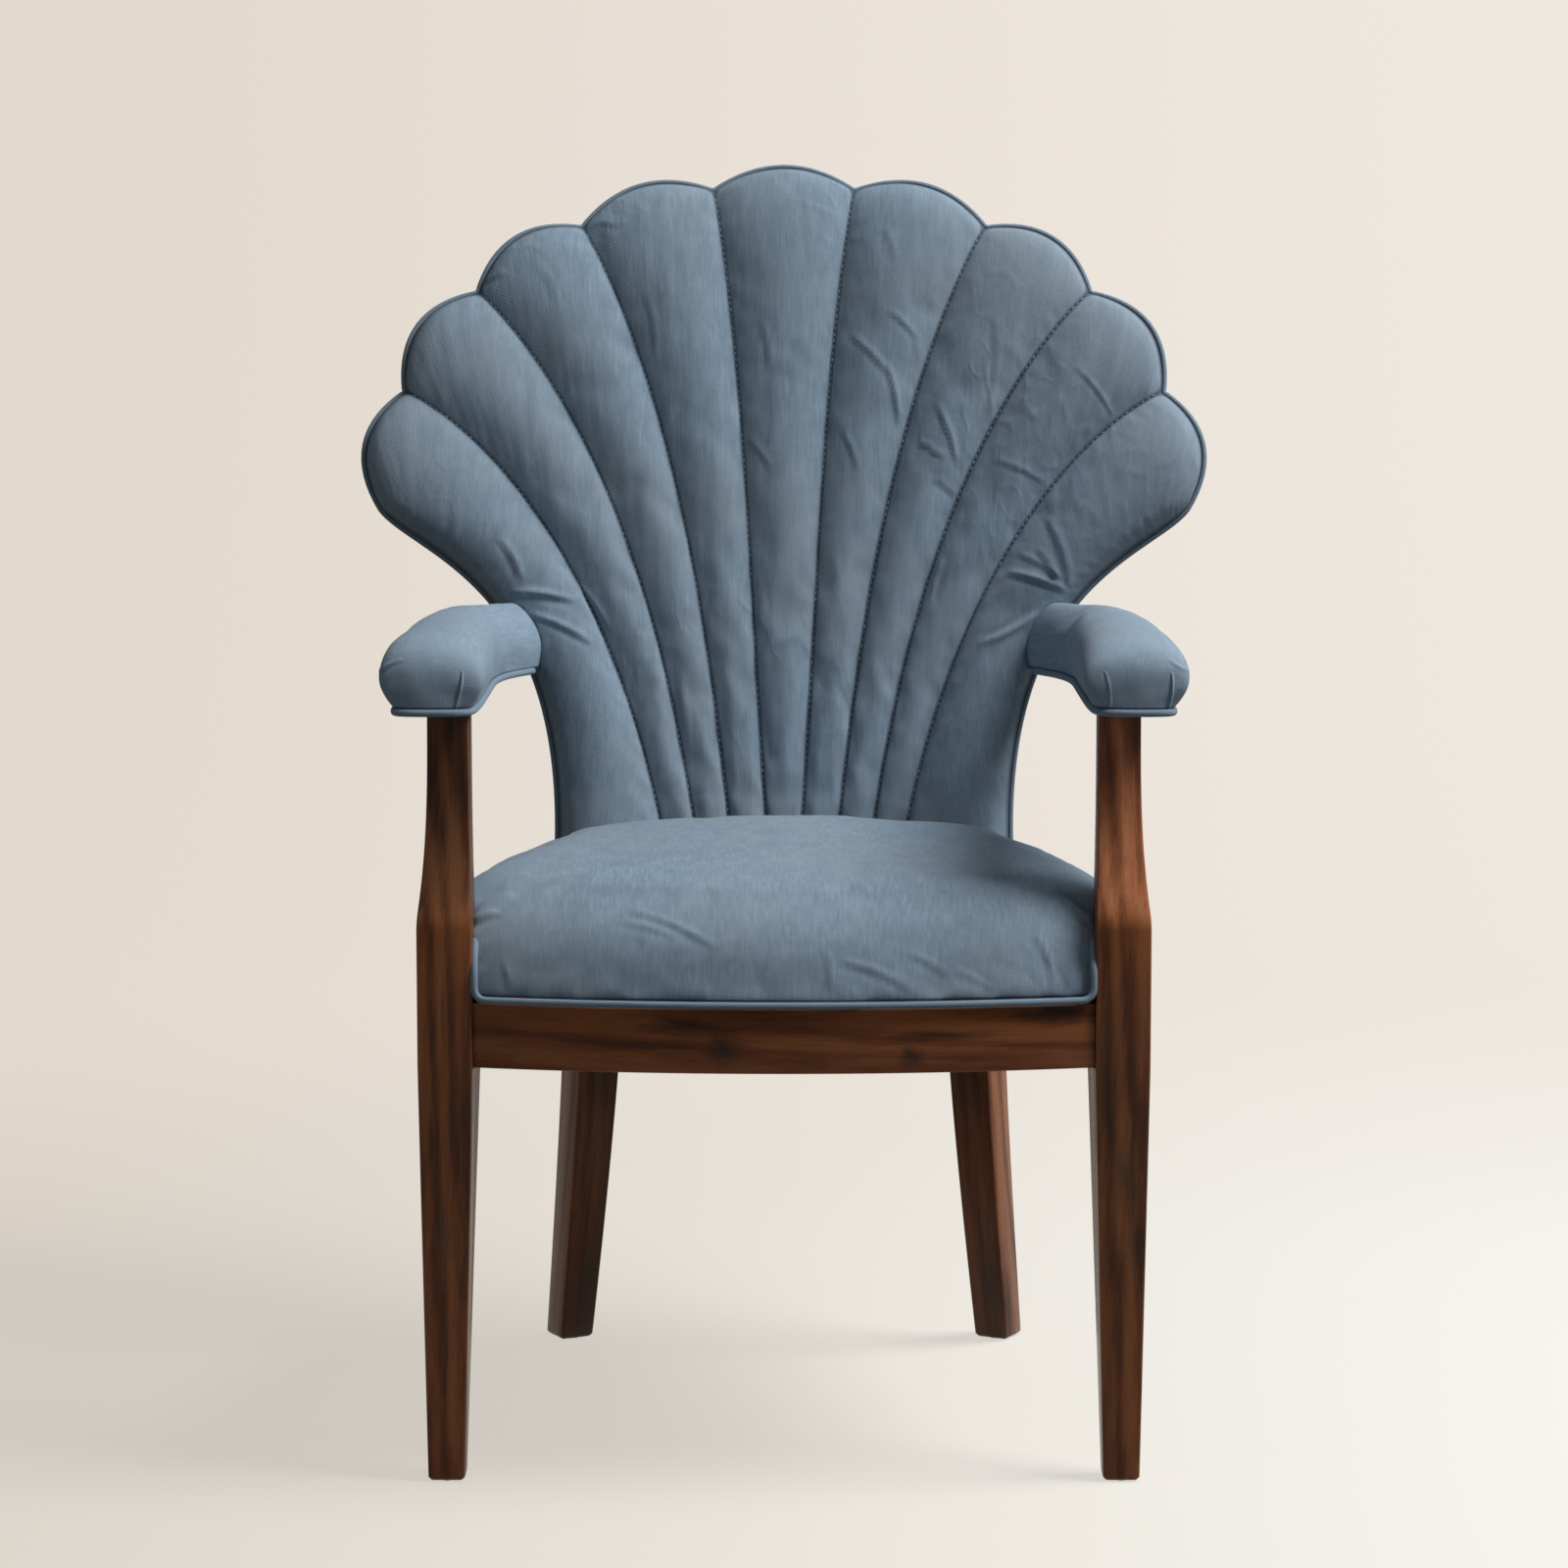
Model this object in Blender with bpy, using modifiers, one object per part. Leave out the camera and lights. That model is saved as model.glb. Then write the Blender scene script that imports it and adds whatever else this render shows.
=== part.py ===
# Fan back armchair: a hardwood frame, a bent scalloped back panel, a webbed seat and padded arms.
# Sizes are in metres. X runs across the chair with the left side at minus X, Y runs from front to back
# and Z is up. Y is counted from the front faces of the front legs until the whole chair is centred.

import math

import bmesh
import bpy
from mathutils import Vector

# Fits and fasteners
CLEARANCE = 0.0003            # left between pieces that touch
HOLE_CLEARANCE = 0.0003       # round a fastener in its hole
COVER_THICKNESS = 0.0012
WELT_RADIUS = 0.003           # piping along the seams
STRAP_THICKNESS = 0.0015
STRAP_WIDTH = 0.050
STRAP_LIFT_SHARE = 0.55       # half the length that a strap stays raised for over a crossing
SCREW_RADIUS = 0.002
SCREW_HEAD_RADIUS = 0.0042
SCREW_HEAD_HEIGHT = 0.0025
BOLT_RADIUS = 0.003
BOLT_HEAD_RADIUS = 0.0055
BOLT_HEAD_HEIGHT = 0.004
HEAD_FLAT_SHARE = 0.8         # a head's flat top, and the height of its straight side
HEAD_SIDE_SHARE = 0.6

# Front legs, each one timber from the floor to the arm
FRAME_WIDTH = 0.576           # across the outer faces of the front legs
LEG_WIDTH = 0.0435
LEG_DEPTH = 0.045
LEG_FOOT = 0.029              # square at the floor
LEG_FOOT_INSET = 0.0054       # the outer face draws in by this much at the floor
LEG_FOOT_SETBACK = 0.006      # the front face draws back by this much at the floor
LEG_CHAMFER = 0.0015
CREASE_RISE = 0.065           # where the post starts to lean back, over the seat rails
POST_WIDTH = 0.0305
POST_DEPTH = 0.030
POST_INSET = 0.007            # the post's outer face, in from the leg's
POST_SETBACK = 0.035          # the post's front face, back from the leg's
POST_EASE = 3.0               # how soon the lean dies out
POST_TENON = 0.014            # square tenon into the arm board
POST_TENON_LENGTH = 0.012
GLIDE_RADIUS = 0.009
GLIDE_HEIGHT = 0.002
GLIDE_STEM_RADIUS = 0.002
GLIDE_STEM_LENGTH = 0.012

# Seat rails and corner blocks
RAIL_BOTTOM = 0.334
RAIL_HEIGHT = 0.051
RAIL_THICKNESS = 0.024
RAIL_SETBACK = 0.004          # the front rail's ends, back from the legs' front faces
RAIL_BOW = 0.030              # the front rail's bow at its middle
SIDE_RAIL_INSET = 0.003       # the side rails' outer faces, in from the front legs'
RAIL_BURY_SHARE = 0.125       # the side rails' ends, behind the rear legs' centres
TONGUE_LENGTH = 0.016
TONGUE_THICKNESS = 0.010
BLOCK_LEG = 0.060             # along each rail
BLOCK_HEIGHT = 0.034
BLOCK_SCREW_OFFSET = 0.036    # from the corner along each rail
BLOCK_UNDER_HEAD = 0.012      # wood left under a screw's head
SCREW_BITE = 0.015            # length of thread in the rail
DUST_COVER_THICKNESS = 0.0008
DUST_COVER_INSET = 0.008

# Rear legs, which run on inside the back as its uprights
REAR_LEG_SPREAD = 0.170       # centre of the leg at the rail, from the chair's middle
REAR_LEG_SIZE = 0.037
REAR_FOOT_SIZE = 0.031
REAR_LEG_TURN = math.radians(28)
KNEE_DROP = 0.034             # the knee, under the seat rails
REAR_FOOT_SPLAY = 0.0235
SPLAY_POWER = 1.3             # how late down the leg the splay sets in
REAR_FOOT_KICK = 0.108        # the foot's curve, back from the line of the upright
UPRIGHT_RISE = 0.045          # the upright's top, over the arm's
UPRIGHT_SIZE = 0.024          # at its top
UPRIGHT_FLARE = 0.055         # outwards at its top
UPRIGHT_GAP = 0.0012          # behind the panel

# Back: a fan of channels in a plane that rakes and wraps round the sitter
BACK_SETBACK = 0.444          # the panel's front at the seat deck
RAKE = math.radians(10)
WRAP_RADIUS = 1.5
FAN_CENTRE = 0.2622           # centre of the ring of cusps, up the back from the seat deck
CUSP_ANGLES = (9.2, 27.0, 43.0, 59.1, 74.7)     # from the middle out; the last is where the neck starts
CUSP_RADII = (0.3925, 0.3957, 0.3990, 0.3920, 0.3703)
LOBE_RISES = (0.0217, 0.0222, 0.0235, 0.0251, 0.0248)   # each scallop's rise over its chord
LOBE_FADE = 3.0               # how soon the scallop fades down its channel
SEAM_FEET = (0.0045, 0.0381, 0.0676, 0.0910)
SEAM_LEAN = math.radians(6.3)
SEAM_RISE_SHARE = 0.318       # seam handles, as shares of the seam's chord
SEAM_RUN_SHARE = 0.326
SEAM_TURN = 1.03              # a seam's direction at its cusp, as a share of the cusp's angle
NECK_FOOT = 0.2025            # half the fan's width at the seat deck
NECK_LEAN = math.radians(-5)
NECK_RISE_SHARE = 0.702
NECK_RUN_SHARE = 0.240
NECK_TURN = math.radians(50.8)
NECK_TURN_IN = math.radians(9.5)  # half the bend from the neck into the lowest scallop
PANEL_THICKNESS = 0.009
PANEL_INSET = 0.0080          # in from the piping
PAD_INSET = 0.0075
PANEL_GAP = 0.0008            # between the panel and the padding
PAD_RIM = 0.003               # thickness of the padding at its edge
SEAM_PAD = 0.017              # thickness of the padding at a seam
CHANNEL_PUFF = 0.16           # a channel's crown over its seams, as a share of its width
PUFF_POWER = 0.6              # lower numbers fill a channel out closer to its seams
LOBE_ROUNDING = 14.0          # higher numbers round the padding closer to its edge
NECK_ROUNDING = 7.0
REAR_DEPTH = 0.0640           # from the piping to the outside back, at the seat
REAR_TOP_DEPTH = 0.046        # the same at the cusps
REAR_LIP = 0.0042             # the outside back's front edge, behind the piping's centre
REAR_INSET = 0.0010
REAR_ROUNDING = 22.0
REAR_NECK_ROUNDING = 60.0
CROSS_RAIL_RISE = 0.250       # up the back from the seat deck
LOWER_RAIL_RISE = 0.030
BACK_RAIL_HEIGHT = 0.045
BACK_RAIL_THICKNESS = 0.018
PANEL_SCREW_SPREAD = 0.085
PANEL_SCREW_BITE = 0.006      # length of thread in the panel

# Seat
SEAT_EDGE = 0.080             # height of the seat's shoulders over the deck
SEAT_CROWN = 0.025            # the middle's rise over the shoulders
SEAT_ROUNDING = 14.0
SEAT_SIDE_ROUNDING = 28.0
SEAT_TO_BACK = 0.0400         # the seat's rear, in front of the back panel
STRAP_FRONT_SPREADS = (0.155, 0.052)
STRAP_REAR_SPREADS = (0.095, 0.032)
CROSS_STRAPS = 4

# Arms
ARM_BOTTOM = 0.6125
ARM_THICKNESS = 0.0625
ARM_INSET = 0.011             # the arm's centre line, in from the front leg's outer face
ARM_FRONT = 0.009
ARM_LIP = 0.010               # the first and second steps of the arm's rounded nose
ARM_NOSE = 0.034
ARM_WIDTH = 0.080
ARM_ELBOW_WIDTH = 0.066
ARM_END_WIDTH = 0.044
ARM_BULGE = 0.0110            # the pad's sides at its front, out over its lower edge
ARM_WELT_GAP = 0.0005         # between the piping and the leaning foot of the cover
ARM_WELT_DROP = 0.0014        # the piping's centre, under the pad's lower edge
ARM_WELT_STOP = 0.034         # the inner piping stops this much short, at the back's padding
ARM_DOME_SHARE = 0.75         # width of the cage's top, as a share of the arm's
ELBOW_LEAD = 0.114            # the elbow's start, in front of the back panel's foot
ELBOW_RADIUS = 0.090
ARM_END_OUT = 0.00286         # the arm's centre line at the back, out from the fan's edge
ARM_PAD_END = 0.0065          # the pad's end, in front of the back panel
ARM_BOARD_THICKNESS = 0.018
ARM_BOARD_MARGIN = 0.003      # padding round the board's edges
ARM_TAIL_HALF = 0.0062        # half the width of the tail that goes into the upright
ARM_TAIL_SHIFT = 0.011        # the tail's start, inside the arm's centre line
ARM_BOLT_BITE = 0.024
BOLT_SEAT_SHARE = 0.125       # the bolt's head, behind the upright's centre
BOLT_GRIP_SHARE = 0.75        # the bolt's length in the upright
CAGE_CROWN_SHARE = 0.977      # how much of the cage's height its smoothed surface keeps

# Derived sizes
RAIL_TOP = RAIL_BOTTOM + RAIL_HEIGHT
KNEE_HEIGHT = RAIL_BOTTOM - KNEE_DROP
CREASE_HEIGHT = RAIL_TOP + CREASE_RISE
DECK = RAIL_TOP + 2 * STRAP_THICKNESS + 3 * CLEARANCE
LEG_OUTER = FRAME_WIDTH / 2
LEG_INNER = LEG_OUTER - LEG_WIDTH
LEG_BASE = GLIDE_HEIGHT + CLEARANCE
ARM_SPREAD = LEG_OUTER - ARM_INSET
ELBOW_SETBACK = BACK_SETBACK - ELBOW_LEAD
POST_TOP = ARM_BOTTOM - CLEARANCE
UPRIGHT_TOP = ARM_BOTTOM + ARM_THICKNESS + UPRIGHT_RISE
POST_OUTER = LEG_OUTER - POST_INSET
COVER_GAP = CLEARANCE + COVER_THICKNESS
RANKS = len(CUSP_ANGLES)
LOBES = 2 * RANKS - 1
ARM_CAGE_HEIGHT = (ARM_THICKNESS - COVER_GAP) / CAGE_CROWN_SHARE

# Steps of the faceted soft forms, as shares of a channel's width, its length or the seat's size
CHANNEL_STEPS = (0.0, 0.14, 0.38, 0.62, 0.86)
NECK_STEPS = (0.0, 0.06, 0.22, 0.50, 0.80)
FAN_ROWS = (0.0, 0.20, 0.40, 0.58, 0.73, 0.85, 0.93, 0.98, 1.0)
PANEL_STEPS = (0.0, 0.25, 0.50, 0.75)
PANEL_ROWS = (0.0, 0.26, 0.50, 0.70, 0.86, 1.0)
REAR_NECK_STEPS = (0.0, 0.012, 0.06, 0.25, 0.50, 0.75)
REAR_ROWS = (0.0, 0.25, 0.50, 0.70, 0.86, 0.95, 0.988, 1.0)
SEAT_ROWS = (0.0, 0.008, 0.03, 0.075, 0.16, 0.32, 0.55, 0.78, 1.0)
SEAT_SIDE_STEPS = (0.0, 0.006, 0.02, 0.05, 0.11, 0.25, 0.55)
POST_STEPS = (0.0, 0.12, 0.28, 0.5, 0.75, 1.0)
ROUND_SIDES = 8

# Finishes: base colour, roughness, metallic
FINISHES = {
    "walnut": ((0.055, 0.022, 0.011), 0.38, 0.0),
    "inner wood": ((0.42, 0.28, 0.16), 0.65, 0.0),
    "plywood": ((0.50, 0.36, 0.22), 0.60, 0.0),
    "blue linen": ((0.125, 0.185, 0.245), 0.92, 0.0),
    "foam": ((0.78, 0.72, 0.55), 0.95, 0.0),
    "webbing": ((0.36, 0.27, 0.16), 0.90, 0.0),
    "black cambric": ((0.02, 0.02, 0.02), 0.95, 0.0),
    "zinc": ((0.62, 0.62, 0.60), 0.35, 1.0),
    "nylon": ((0.06, 0.05, 0.045), 0.55, 0.0),
}

for thing in list(bpy.data.objects):
    bpy.data.objects.remove(thing, do_unlink=True)


def fresh_collection(name):
    collection = bpy.data.collections.new(name)
    bpy.context.scene.collection.children.link(collection)
    return collection


PARTS = fresh_collection("fan_back_armchair")
CUTTERS = fresh_collection("armchair_cutters")
CHAIR = bpy.data.objects.new("armchair_origin", None)
PARTS.objects.link(CHAIR)


# Making objects

def finish_material(name, finish):
    colour, roughness, metallic = FINISHES[finish]
    material = bpy.data.materials.new(f"{name} {finish}")
    material.use_nodes = True
    shader = material.node_tree.nodes["Principled BSDF"]
    shader.inputs["Base Color"].default_value = (*colour, 1.0)
    shader.inputs["Roughness"].default_value = roughness
    shader.inputs["Metallic"].default_value = metallic
    return material


def new_part(name, data, finish=None):
    part = bpy.data.objects.new(name, data)
    if finish:
        data.materials.append(finish_material(name, finish))
    PARTS.objects.link(part)
    part.parent = CHAIR
    return part


def mesh_from(name, bm, smooth_angle):
    bmesh.ops.recalc_face_normals(bm, faces=bm.faces)
    mesh = bpy.data.meshes.new(name)
    bm.to_mesh(mesh)
    bm.free()
    mesh.shade_smooth()
    mesh.set_sharp_from_angle(angle=smooth_angle)
    return mesh


def mesh_part(name, bm, finish, smooth_angle=math.radians(35)):
    return new_part(name, mesh_from(name, bm, smooth_angle), finish)


def cutter(name, bm):
    tool = bpy.data.objects.new(name, mesh_from(name, bm, math.radians(35)))
    CUTTERS.objects.link(tool)
    tool.parent = CHAIR
    tool.hide_render = True
    tool.display_type = "WIRE"
    return tool


def cut(part, *tools):
    for tool in tools:
        boolean = part.modifiers.new(f"cut {tool.name}", "BOOLEAN")
        boolean.operation = "DIFFERENCE"
        boolean.solver = "EXACT"
        boolean.object = tool


def extruded(outline, low, high):
    bm = bmesh.new()
    face = bm.faces.new([bm.verts.new((x, y, low)) for x, y in outline])
    raised = bmesh.ops.extrude_face_region(bm, geom=[face])
    top = [item for item in raised["geom"] if isinstance(item, bmesh.types.BMVert)]
    bmesh.ops.translate(bm, verts=top, vec=(0, 0, high - low))
    return bm


def lofted(rings):
    bm = bmesh.new()
    loops = [[bm.verts.new(point) for point in ring] for ring in rings]
    for lower, upper in zip(loops, loops[1:]):
        for i in range(len(lower)):
            j = (i + 1) % len(lower)
            bm.faces.new((lower[i], lower[j], upper[j], upper[i]))
    bm.faces.new(loops[0])
    bm.faces.new(loops[-1])
    return bm, loops


def sheet(bm, columns, rows, place):
    made = bmesh.ops.create_grid(bm, x_segments=columns, y_segments=rows, size=0.5)
    for vert in made["verts"]:
        i = round((vert.co.x + 0.5) * columns)
        j = round((vert.co.y + 0.5) * rows)
        vert.co = place(i, j)
    bmesh.ops.triangulate(bm, faces=bm.faces)


def slab(columns, rows, front, back):
    bm = bmesh.new()
    sheet(bm, columns, rows, front)
    sheet(bm, columns, rows, back)
    rims = [edge for edge in bm.edges if edge.is_boundary]
    bmesh.ops.bridge_loops(bm, edges=rims)
    return bm


def covering(name, bm, gap, thickness):
    cover = mesh_part(name, bm, "blue linen", math.radians(60))
    lift = cover.modifiers.new("gap over the padding", "DISPLACE")
    lift.direction = "NORMAL"
    lift.mid_level = 0.0
    lift.strength = gap
    cloth = cover.modifiers.new("cloth thickness", "SOLIDIFY")
    cloth.thickness = thickness
    cloth.offset = 1.0
    return cover


def piping(name, points):
    curve = bpy.data.curves.new(name, "CURVE")
    curve.dimensions = "3D"
    curve.bevel_depth = WELT_RADIUS
    curve.bevel_resolution = 1
    curve.use_fill_caps = True
    line = curve.splines.new("POLY")
    line.points.add(len(points) - 1)
    for spot, point in zip(line.points, points):
        spot.co = (*point, 1.0)
    line.use_smooth = True
    return new_part(name, curve, "blue linen")


def turned(name, profile, finish):
    bm = bmesh.new()
    verts = [bm.verts.new((radius, 0, height)) for radius, height in profile]
    for first, second in zip(verts, verts[1:]):
        bm.edges.new((first, second))
    mesh = bpy.data.meshes.new(name)
    bm.to_mesh(mesh)
    bm.free()
    part = new_part(name, mesh, finish)
    spin = part.modifiers.new("turned round Z", "SCREW")
    spin.axis = "Z"
    spin.steps = ROUND_SIDES
    spin.render_steps = ROUND_SIDES
    spin.use_merge_vertices = True
    spin.merge_threshold = 0.0001
    spin.use_smooth_shade = True
    return part


def fastener(name, place, direction, length, radius, head_radius, head_height):
    # The head's underside is at the place, and the shank runs along the direction.
    profile = (
        (0.0, head_height),
        (head_radius * HEAD_FLAT_SHARE, head_height),
        (head_radius, head_height * HEAD_SIDE_SHARE),
        (head_radius, 0.0),
        (radius, 0.0),
        (radius, radius - length),
        (0.0, -length),
    )
    part = turned(name, profile, "zinc")
    part.location = place
    part.rotation_mode = "QUATERNION"
    part.rotation_quaternion = direction.to_track_quat("-Z", "Y")
    return part


def bore(name, place, direction, radius, length):
    # The radius is that of the flats, so that a round piece of that size fits in any position.
    bm = bmesh.new()
    corner = radius / math.cos(math.pi / ROUND_SIDES)
    bmesh.ops.create_cone(
        bm, cap_ends=True, segments=ROUND_SIDES, radius1=corner, radius2=corner, depth=length
    )
    bmesh.ops.translate(bm, verts=bm.verts, vec=(0, 0, -length / 2))
    tool = cutter(name, bm)
    tool.location = place
    tool.rotation_mode = "QUATERNION"
    tool.rotation_quaternion = direction.to_track_quat("-Z", "Y")
    return tool


def edge_rise(share, rounding):
    # Height over a rounded edge: 0 at the edge and 1 well inside it.
    return math.sqrt(max(0.0, 1.0 - (1.0 - share) ** rounding))


def mix(first, second, share):
    return first + (second - first) * share


def mirrored(points, side):
    return [(side * x, *rest) for x, *rest in points]


SIDES = (("left", -1), ("right", 1))


# The back's own plane: u across, h up from the seat deck, w forward of the panel's front face

def fan_point(u, h, w):
    turn = u / WRAP_RADIUS
    forward = WRAP_RADIUS - (WRAP_RADIUS - w) * math.cos(turn)
    return Vector((
        (WRAP_RADIUS - w) * math.sin(turn),
        BACK_SETBACK - forward * math.cos(RAKE) + h * math.sin(RAKE),
        DECK + h * math.cos(RAKE) + forward * math.sin(RAKE),
    ))


def back_y(x, z, w):
    reach = WRAP_RADIUS - w
    forward = WRAP_RADIUS - math.sqrt(reach * reach - x * x)
    h = (z - DECK - forward * math.sin(RAKE)) / math.cos(RAKE)
    return BACK_SETBACK - forward * math.cos(RAKE) + h * math.sin(RAKE)


def back_normal(u, h):
    return (fan_point(u, h, 1.0) - fan_point(u, h, 0.0)).normalized()


def channel_border(index, v, inset):
    # Border 0 and the last one are the fan's edges, and those between are seams. v is 1 at the cusp.
    side = -1 if index < RANKS else 1
    rank = RANKS - 1 - index if index < RANKS else index - RANKS
    angle = math.radians(CUSP_ANGLES[rank])
    ray = Vector((math.sin(angle), math.cos(angle)))
    if rank == RANKS - 1:
        inward = NECK_TURN - NECK_TURN_IN
        cusp = CUSP_RADII[rank] * ray + inset * Vector((-math.cos(inward), math.sin(inward)))
        foot = Vector((NECK_FOOT - inset, 0.0))
        lean, rise, run, turn = NECK_LEAN, NECK_RISE_SHARE, NECK_RUN_SHARE, NECK_TURN
    else:
        cusp = (CUSP_RADII[rank] - inset) * ray
        foot = Vector((SEAM_FEET[rank], 0.0))
        lean, rise, run, turn = SEAM_LEAN, SEAM_RISE_SHARE, SEAM_RUN_SHARE, SEAM_TURN * angle
    cusp.y += FAN_CENTRE
    chord = (cusp - foot).length
    low = foot + rise * chord * Vector((math.sin(lean), math.cos(lean)))
    high = cusp - run * chord * Vector((math.sin(turn), math.cos(turn)))
    point = (
        (1 - v) ** 3 * foot
        + 3 * v * (1 - v) ** 2 * low
        + 3 * v * v * (1 - v) * high
        + v ** 3 * cusp
    )
    return Vector((side * point.x, point.y))


def channel_point(channel, s, v, inset):
    first = channel_border(channel, v, inset)
    second = channel_border(channel + 1, v, inset)
    across = second - first
    outward = Vector((-across.y, across.x)).normalized()
    bulge = LOBE_RISES[abs(channel - RANKS + 1)] * 4 * s * (1 - s) * v ** LOBE_FADE
    return first.lerp(second, s) + outward * bulge, across.length


def fan_columns(channel_steps, neck_steps):
    columns = []
    for channel in range(LOBES):
        steps = channel_steps
        if channel == 0:
            steps = neck_steps
        if channel == LOBES - 1:
            steps = (0.0, *[1 - step for step in reversed(neck_steps[1:])])
        columns += [(channel, step) for step in steps]
    columns.append((LOBES - 1, 1.0))
    return columns


FAN_COLUMNS = fan_columns(CHANNEL_STEPS, NECK_STEPS)
PANEL_COLUMNS = fan_columns(PANEL_STEPS, PANEL_STEPS)
REAR_COLUMNS = fan_columns(PANEL_STEPS, REAR_NECK_STEPS)


def neck_share(channel, s):
    # How far a point lies from the fan's outer edge: 0 on it, and 1 on every inner channel.
    if channel == 0:
        return s
    if channel == LOBES - 1:
        return 1 - s
    return 1.0


def padding_height(channel, s, v, width):
    puff = CHANNEL_PUFF * width * math.sin(math.pi * s) ** PUFF_POWER
    rounding = edge_rise(1 - v, LOBE_ROUNDING) * edge_rise(neck_share(channel, s), NECK_ROUNDING)
    return PAD_RIM + (SEAM_PAD + puff) * rounding


def padding_front(i, j):
    channel, s = FAN_COLUMNS[i]
    spot, width = channel_point(channel, s, FAN_ROWS[j], PAD_INSET)
    return fan_point(spot.x, spot.y, padding_height(channel, s, FAN_ROWS[j], width))


def padding_rear(i, j):
    channel, s = FAN_COLUMNS[i]
    spot, width = channel_point(channel, s, FAN_ROWS[j], PAD_INSET)
    return fan_point(spot.x, spot.y, PANEL_GAP)


def panel_face(w):
    def place(i, j):
        channel, s = PANEL_COLUMNS[i]
        spot, width = channel_point(channel, s, PANEL_ROWS[j], PANEL_INSET)
        return fan_point(spot.x, spot.y, w)
    return place


def outside_back(i, j):
    channel, s = REAR_COLUMNS[i]
    v = REAR_ROWS[j]
    spot, width = channel_point(channel, s, v, REAR_INSET)
    rounding = edge_rise(1 - v, REAR_ROUNDING) * edge_rise(neck_share(channel, s), REAR_NECK_ROUNDING)
    depth = mix(REAR_LIP, mix(REAR_DEPTH, REAR_TOP_DEPTH, v) - COVER_THICKNESS, rounding)
    straightened = spot.x * (1 - depth / WRAP_RADIUS)
    return fan_point(straightened, spot.y, -depth)


def fan_outline():
    left = [channel_border(0, v, 0.0) for v in FAN_ROWS]
    top = [channel_point(channel, s, 1.0, 0.0)[0] for channel, s in FAN_COLUMNS]
    right = [channel_border(LOBES, v, 0.0) for v in reversed(FAN_ROWS)]
    return left[:-1] + top + right[1:]


# Plan of the seat frame, worked out for the right side

def front_face_y(x):
    return RAIL_SETBACK - RAIL_BOW * (1 - (x / LEG_INNER) ** 2)


def rear_leg_place(z):
    # Centre of the rear leg or upright, and the side of its square section, at a height.
    if z < KNEE_HEIGHT:
        drop = KNEE_HEIGHT - z
        share = drop / KNEE_HEIGHT
        x, y, size = rear_leg_place(KNEE_HEIGHT)
        x += REAR_FOOT_SPLAY * share ** SPLAY_POWER
        y += REAR_FOOT_KICK * share ** 2 - drop * math.tan(RAKE)
        return x, y, mix(size, REAR_FOOT_SIZE, share)
    share = max(0.0, (z - RAIL_TOP) / (UPRIGHT_TOP - RAIL_TOP))
    size = mix(REAR_LEG_SIZE, UPRIGHT_SIZE, share)
    x = REAR_LEG_SPREAD + UPRIGHT_FLARE * share ** 2
    corner = size / 2 * (math.cos(REAR_LEG_TURN) + math.sin(REAR_LEG_TURN))
    y = back_y(x, z, -(PANEL_THICKNESS + UPRIGHT_GAP + corner))
    return x, y, size


RAIL_MIDDLE = RAIL_BOTTOM + RAIL_HEIGHT / 2
REAR_X, REAR_Y, REAR_SIZE = rear_leg_place(RAIL_MIDDLE)
SIDE_FRONT_X = LEG_OUTER - SIDE_RAIL_INSET
SIDE_FRONT_Y = LEG_DEPTH + CLEARANCE
SIDE_REAR_X = REAR_X + REAR_SIZE / 2 - CLEARANCE
SIDE_REAR_Y = REAR_Y + REAR_SIZE * RAIL_BURY_SHARE
REAR_RAIL_FRONT = REAR_Y - RAIL_THICKNESS / 2
RAIL_INNER_Y = RAIL_SETBACK + RAIL_THICKNESS


def side_rail_x(y, inset=0.0):
    share = (y - SIDE_FRONT_Y) / (SIDE_REAR_Y - SIDE_FRONT_Y)
    return mix(SIDE_FRONT_X, SIDE_REAR_X, share) - inset


def side_rail_direction():
    return Vector((SIDE_REAR_X - SIDE_FRONT_X, SIDE_REAR_Y - SIDE_FRONT_Y)).normalized()


# Legs

def front_leg_ring(z, grow=0.0):
    outer, inner, front, rear = LEG_OUTER, LEG_INNER, 0.0, LEG_DEPTH
    if z < RAIL_BOTTOM:
        share = (RAIL_BOTTOM - z) / RAIL_BOTTOM
        outer -= LEG_FOOT_INSET * share
        inner = mix(inner, LEG_OUTER - LEG_FOOT_INSET - LEG_FOOT, share)
        front += LEG_FOOT_SETBACK * share
        rear = mix(rear, LEG_FOOT_SETBACK + LEG_FOOT, share)
    if z > CREASE_HEIGHT:
        share = 1 - (1 - (z - CREASE_HEIGHT) / (POST_TOP - CREASE_HEIGHT)) ** POST_EASE
        outer = mix(outer, POST_OUTER, share)
        inner = mix(inner, POST_OUTER - POST_WIDTH, share)
        front = POST_SETBACK * share
        rear = mix(rear, POST_SETBACK + POST_DEPTH, share)
    return [
        (inner - grow, front - grow, z),
        (outer + grow, front - grow, z),
        (outer + grow, rear + grow, z),
        (inner - grow, rear + grow, z),
    ]


def front_leg_rings(grow=0.0):
    heights = [LEG_BASE - grow, RAIL_BOTTOM]
    heights += [mix(CREASE_HEIGHT, POST_TOP, share) for share in POST_STEPS]
    return [front_leg_ring(z, grow) for z in heights]


def rear_leg_ring(z, grow=0.0):
    x, y, size = rear_leg_place(z)
    half = size / 2 + grow
    cosine, sine = math.cos(REAR_LEG_TURN), math.sin(REAR_LEG_TURN)
    corners = ((-half, -half), (half, -half), (half, half), (-half, half))
    return [(x + a * cosine + b * sine, y - a * sine + b * cosine, z) for a, b in corners]


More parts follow.
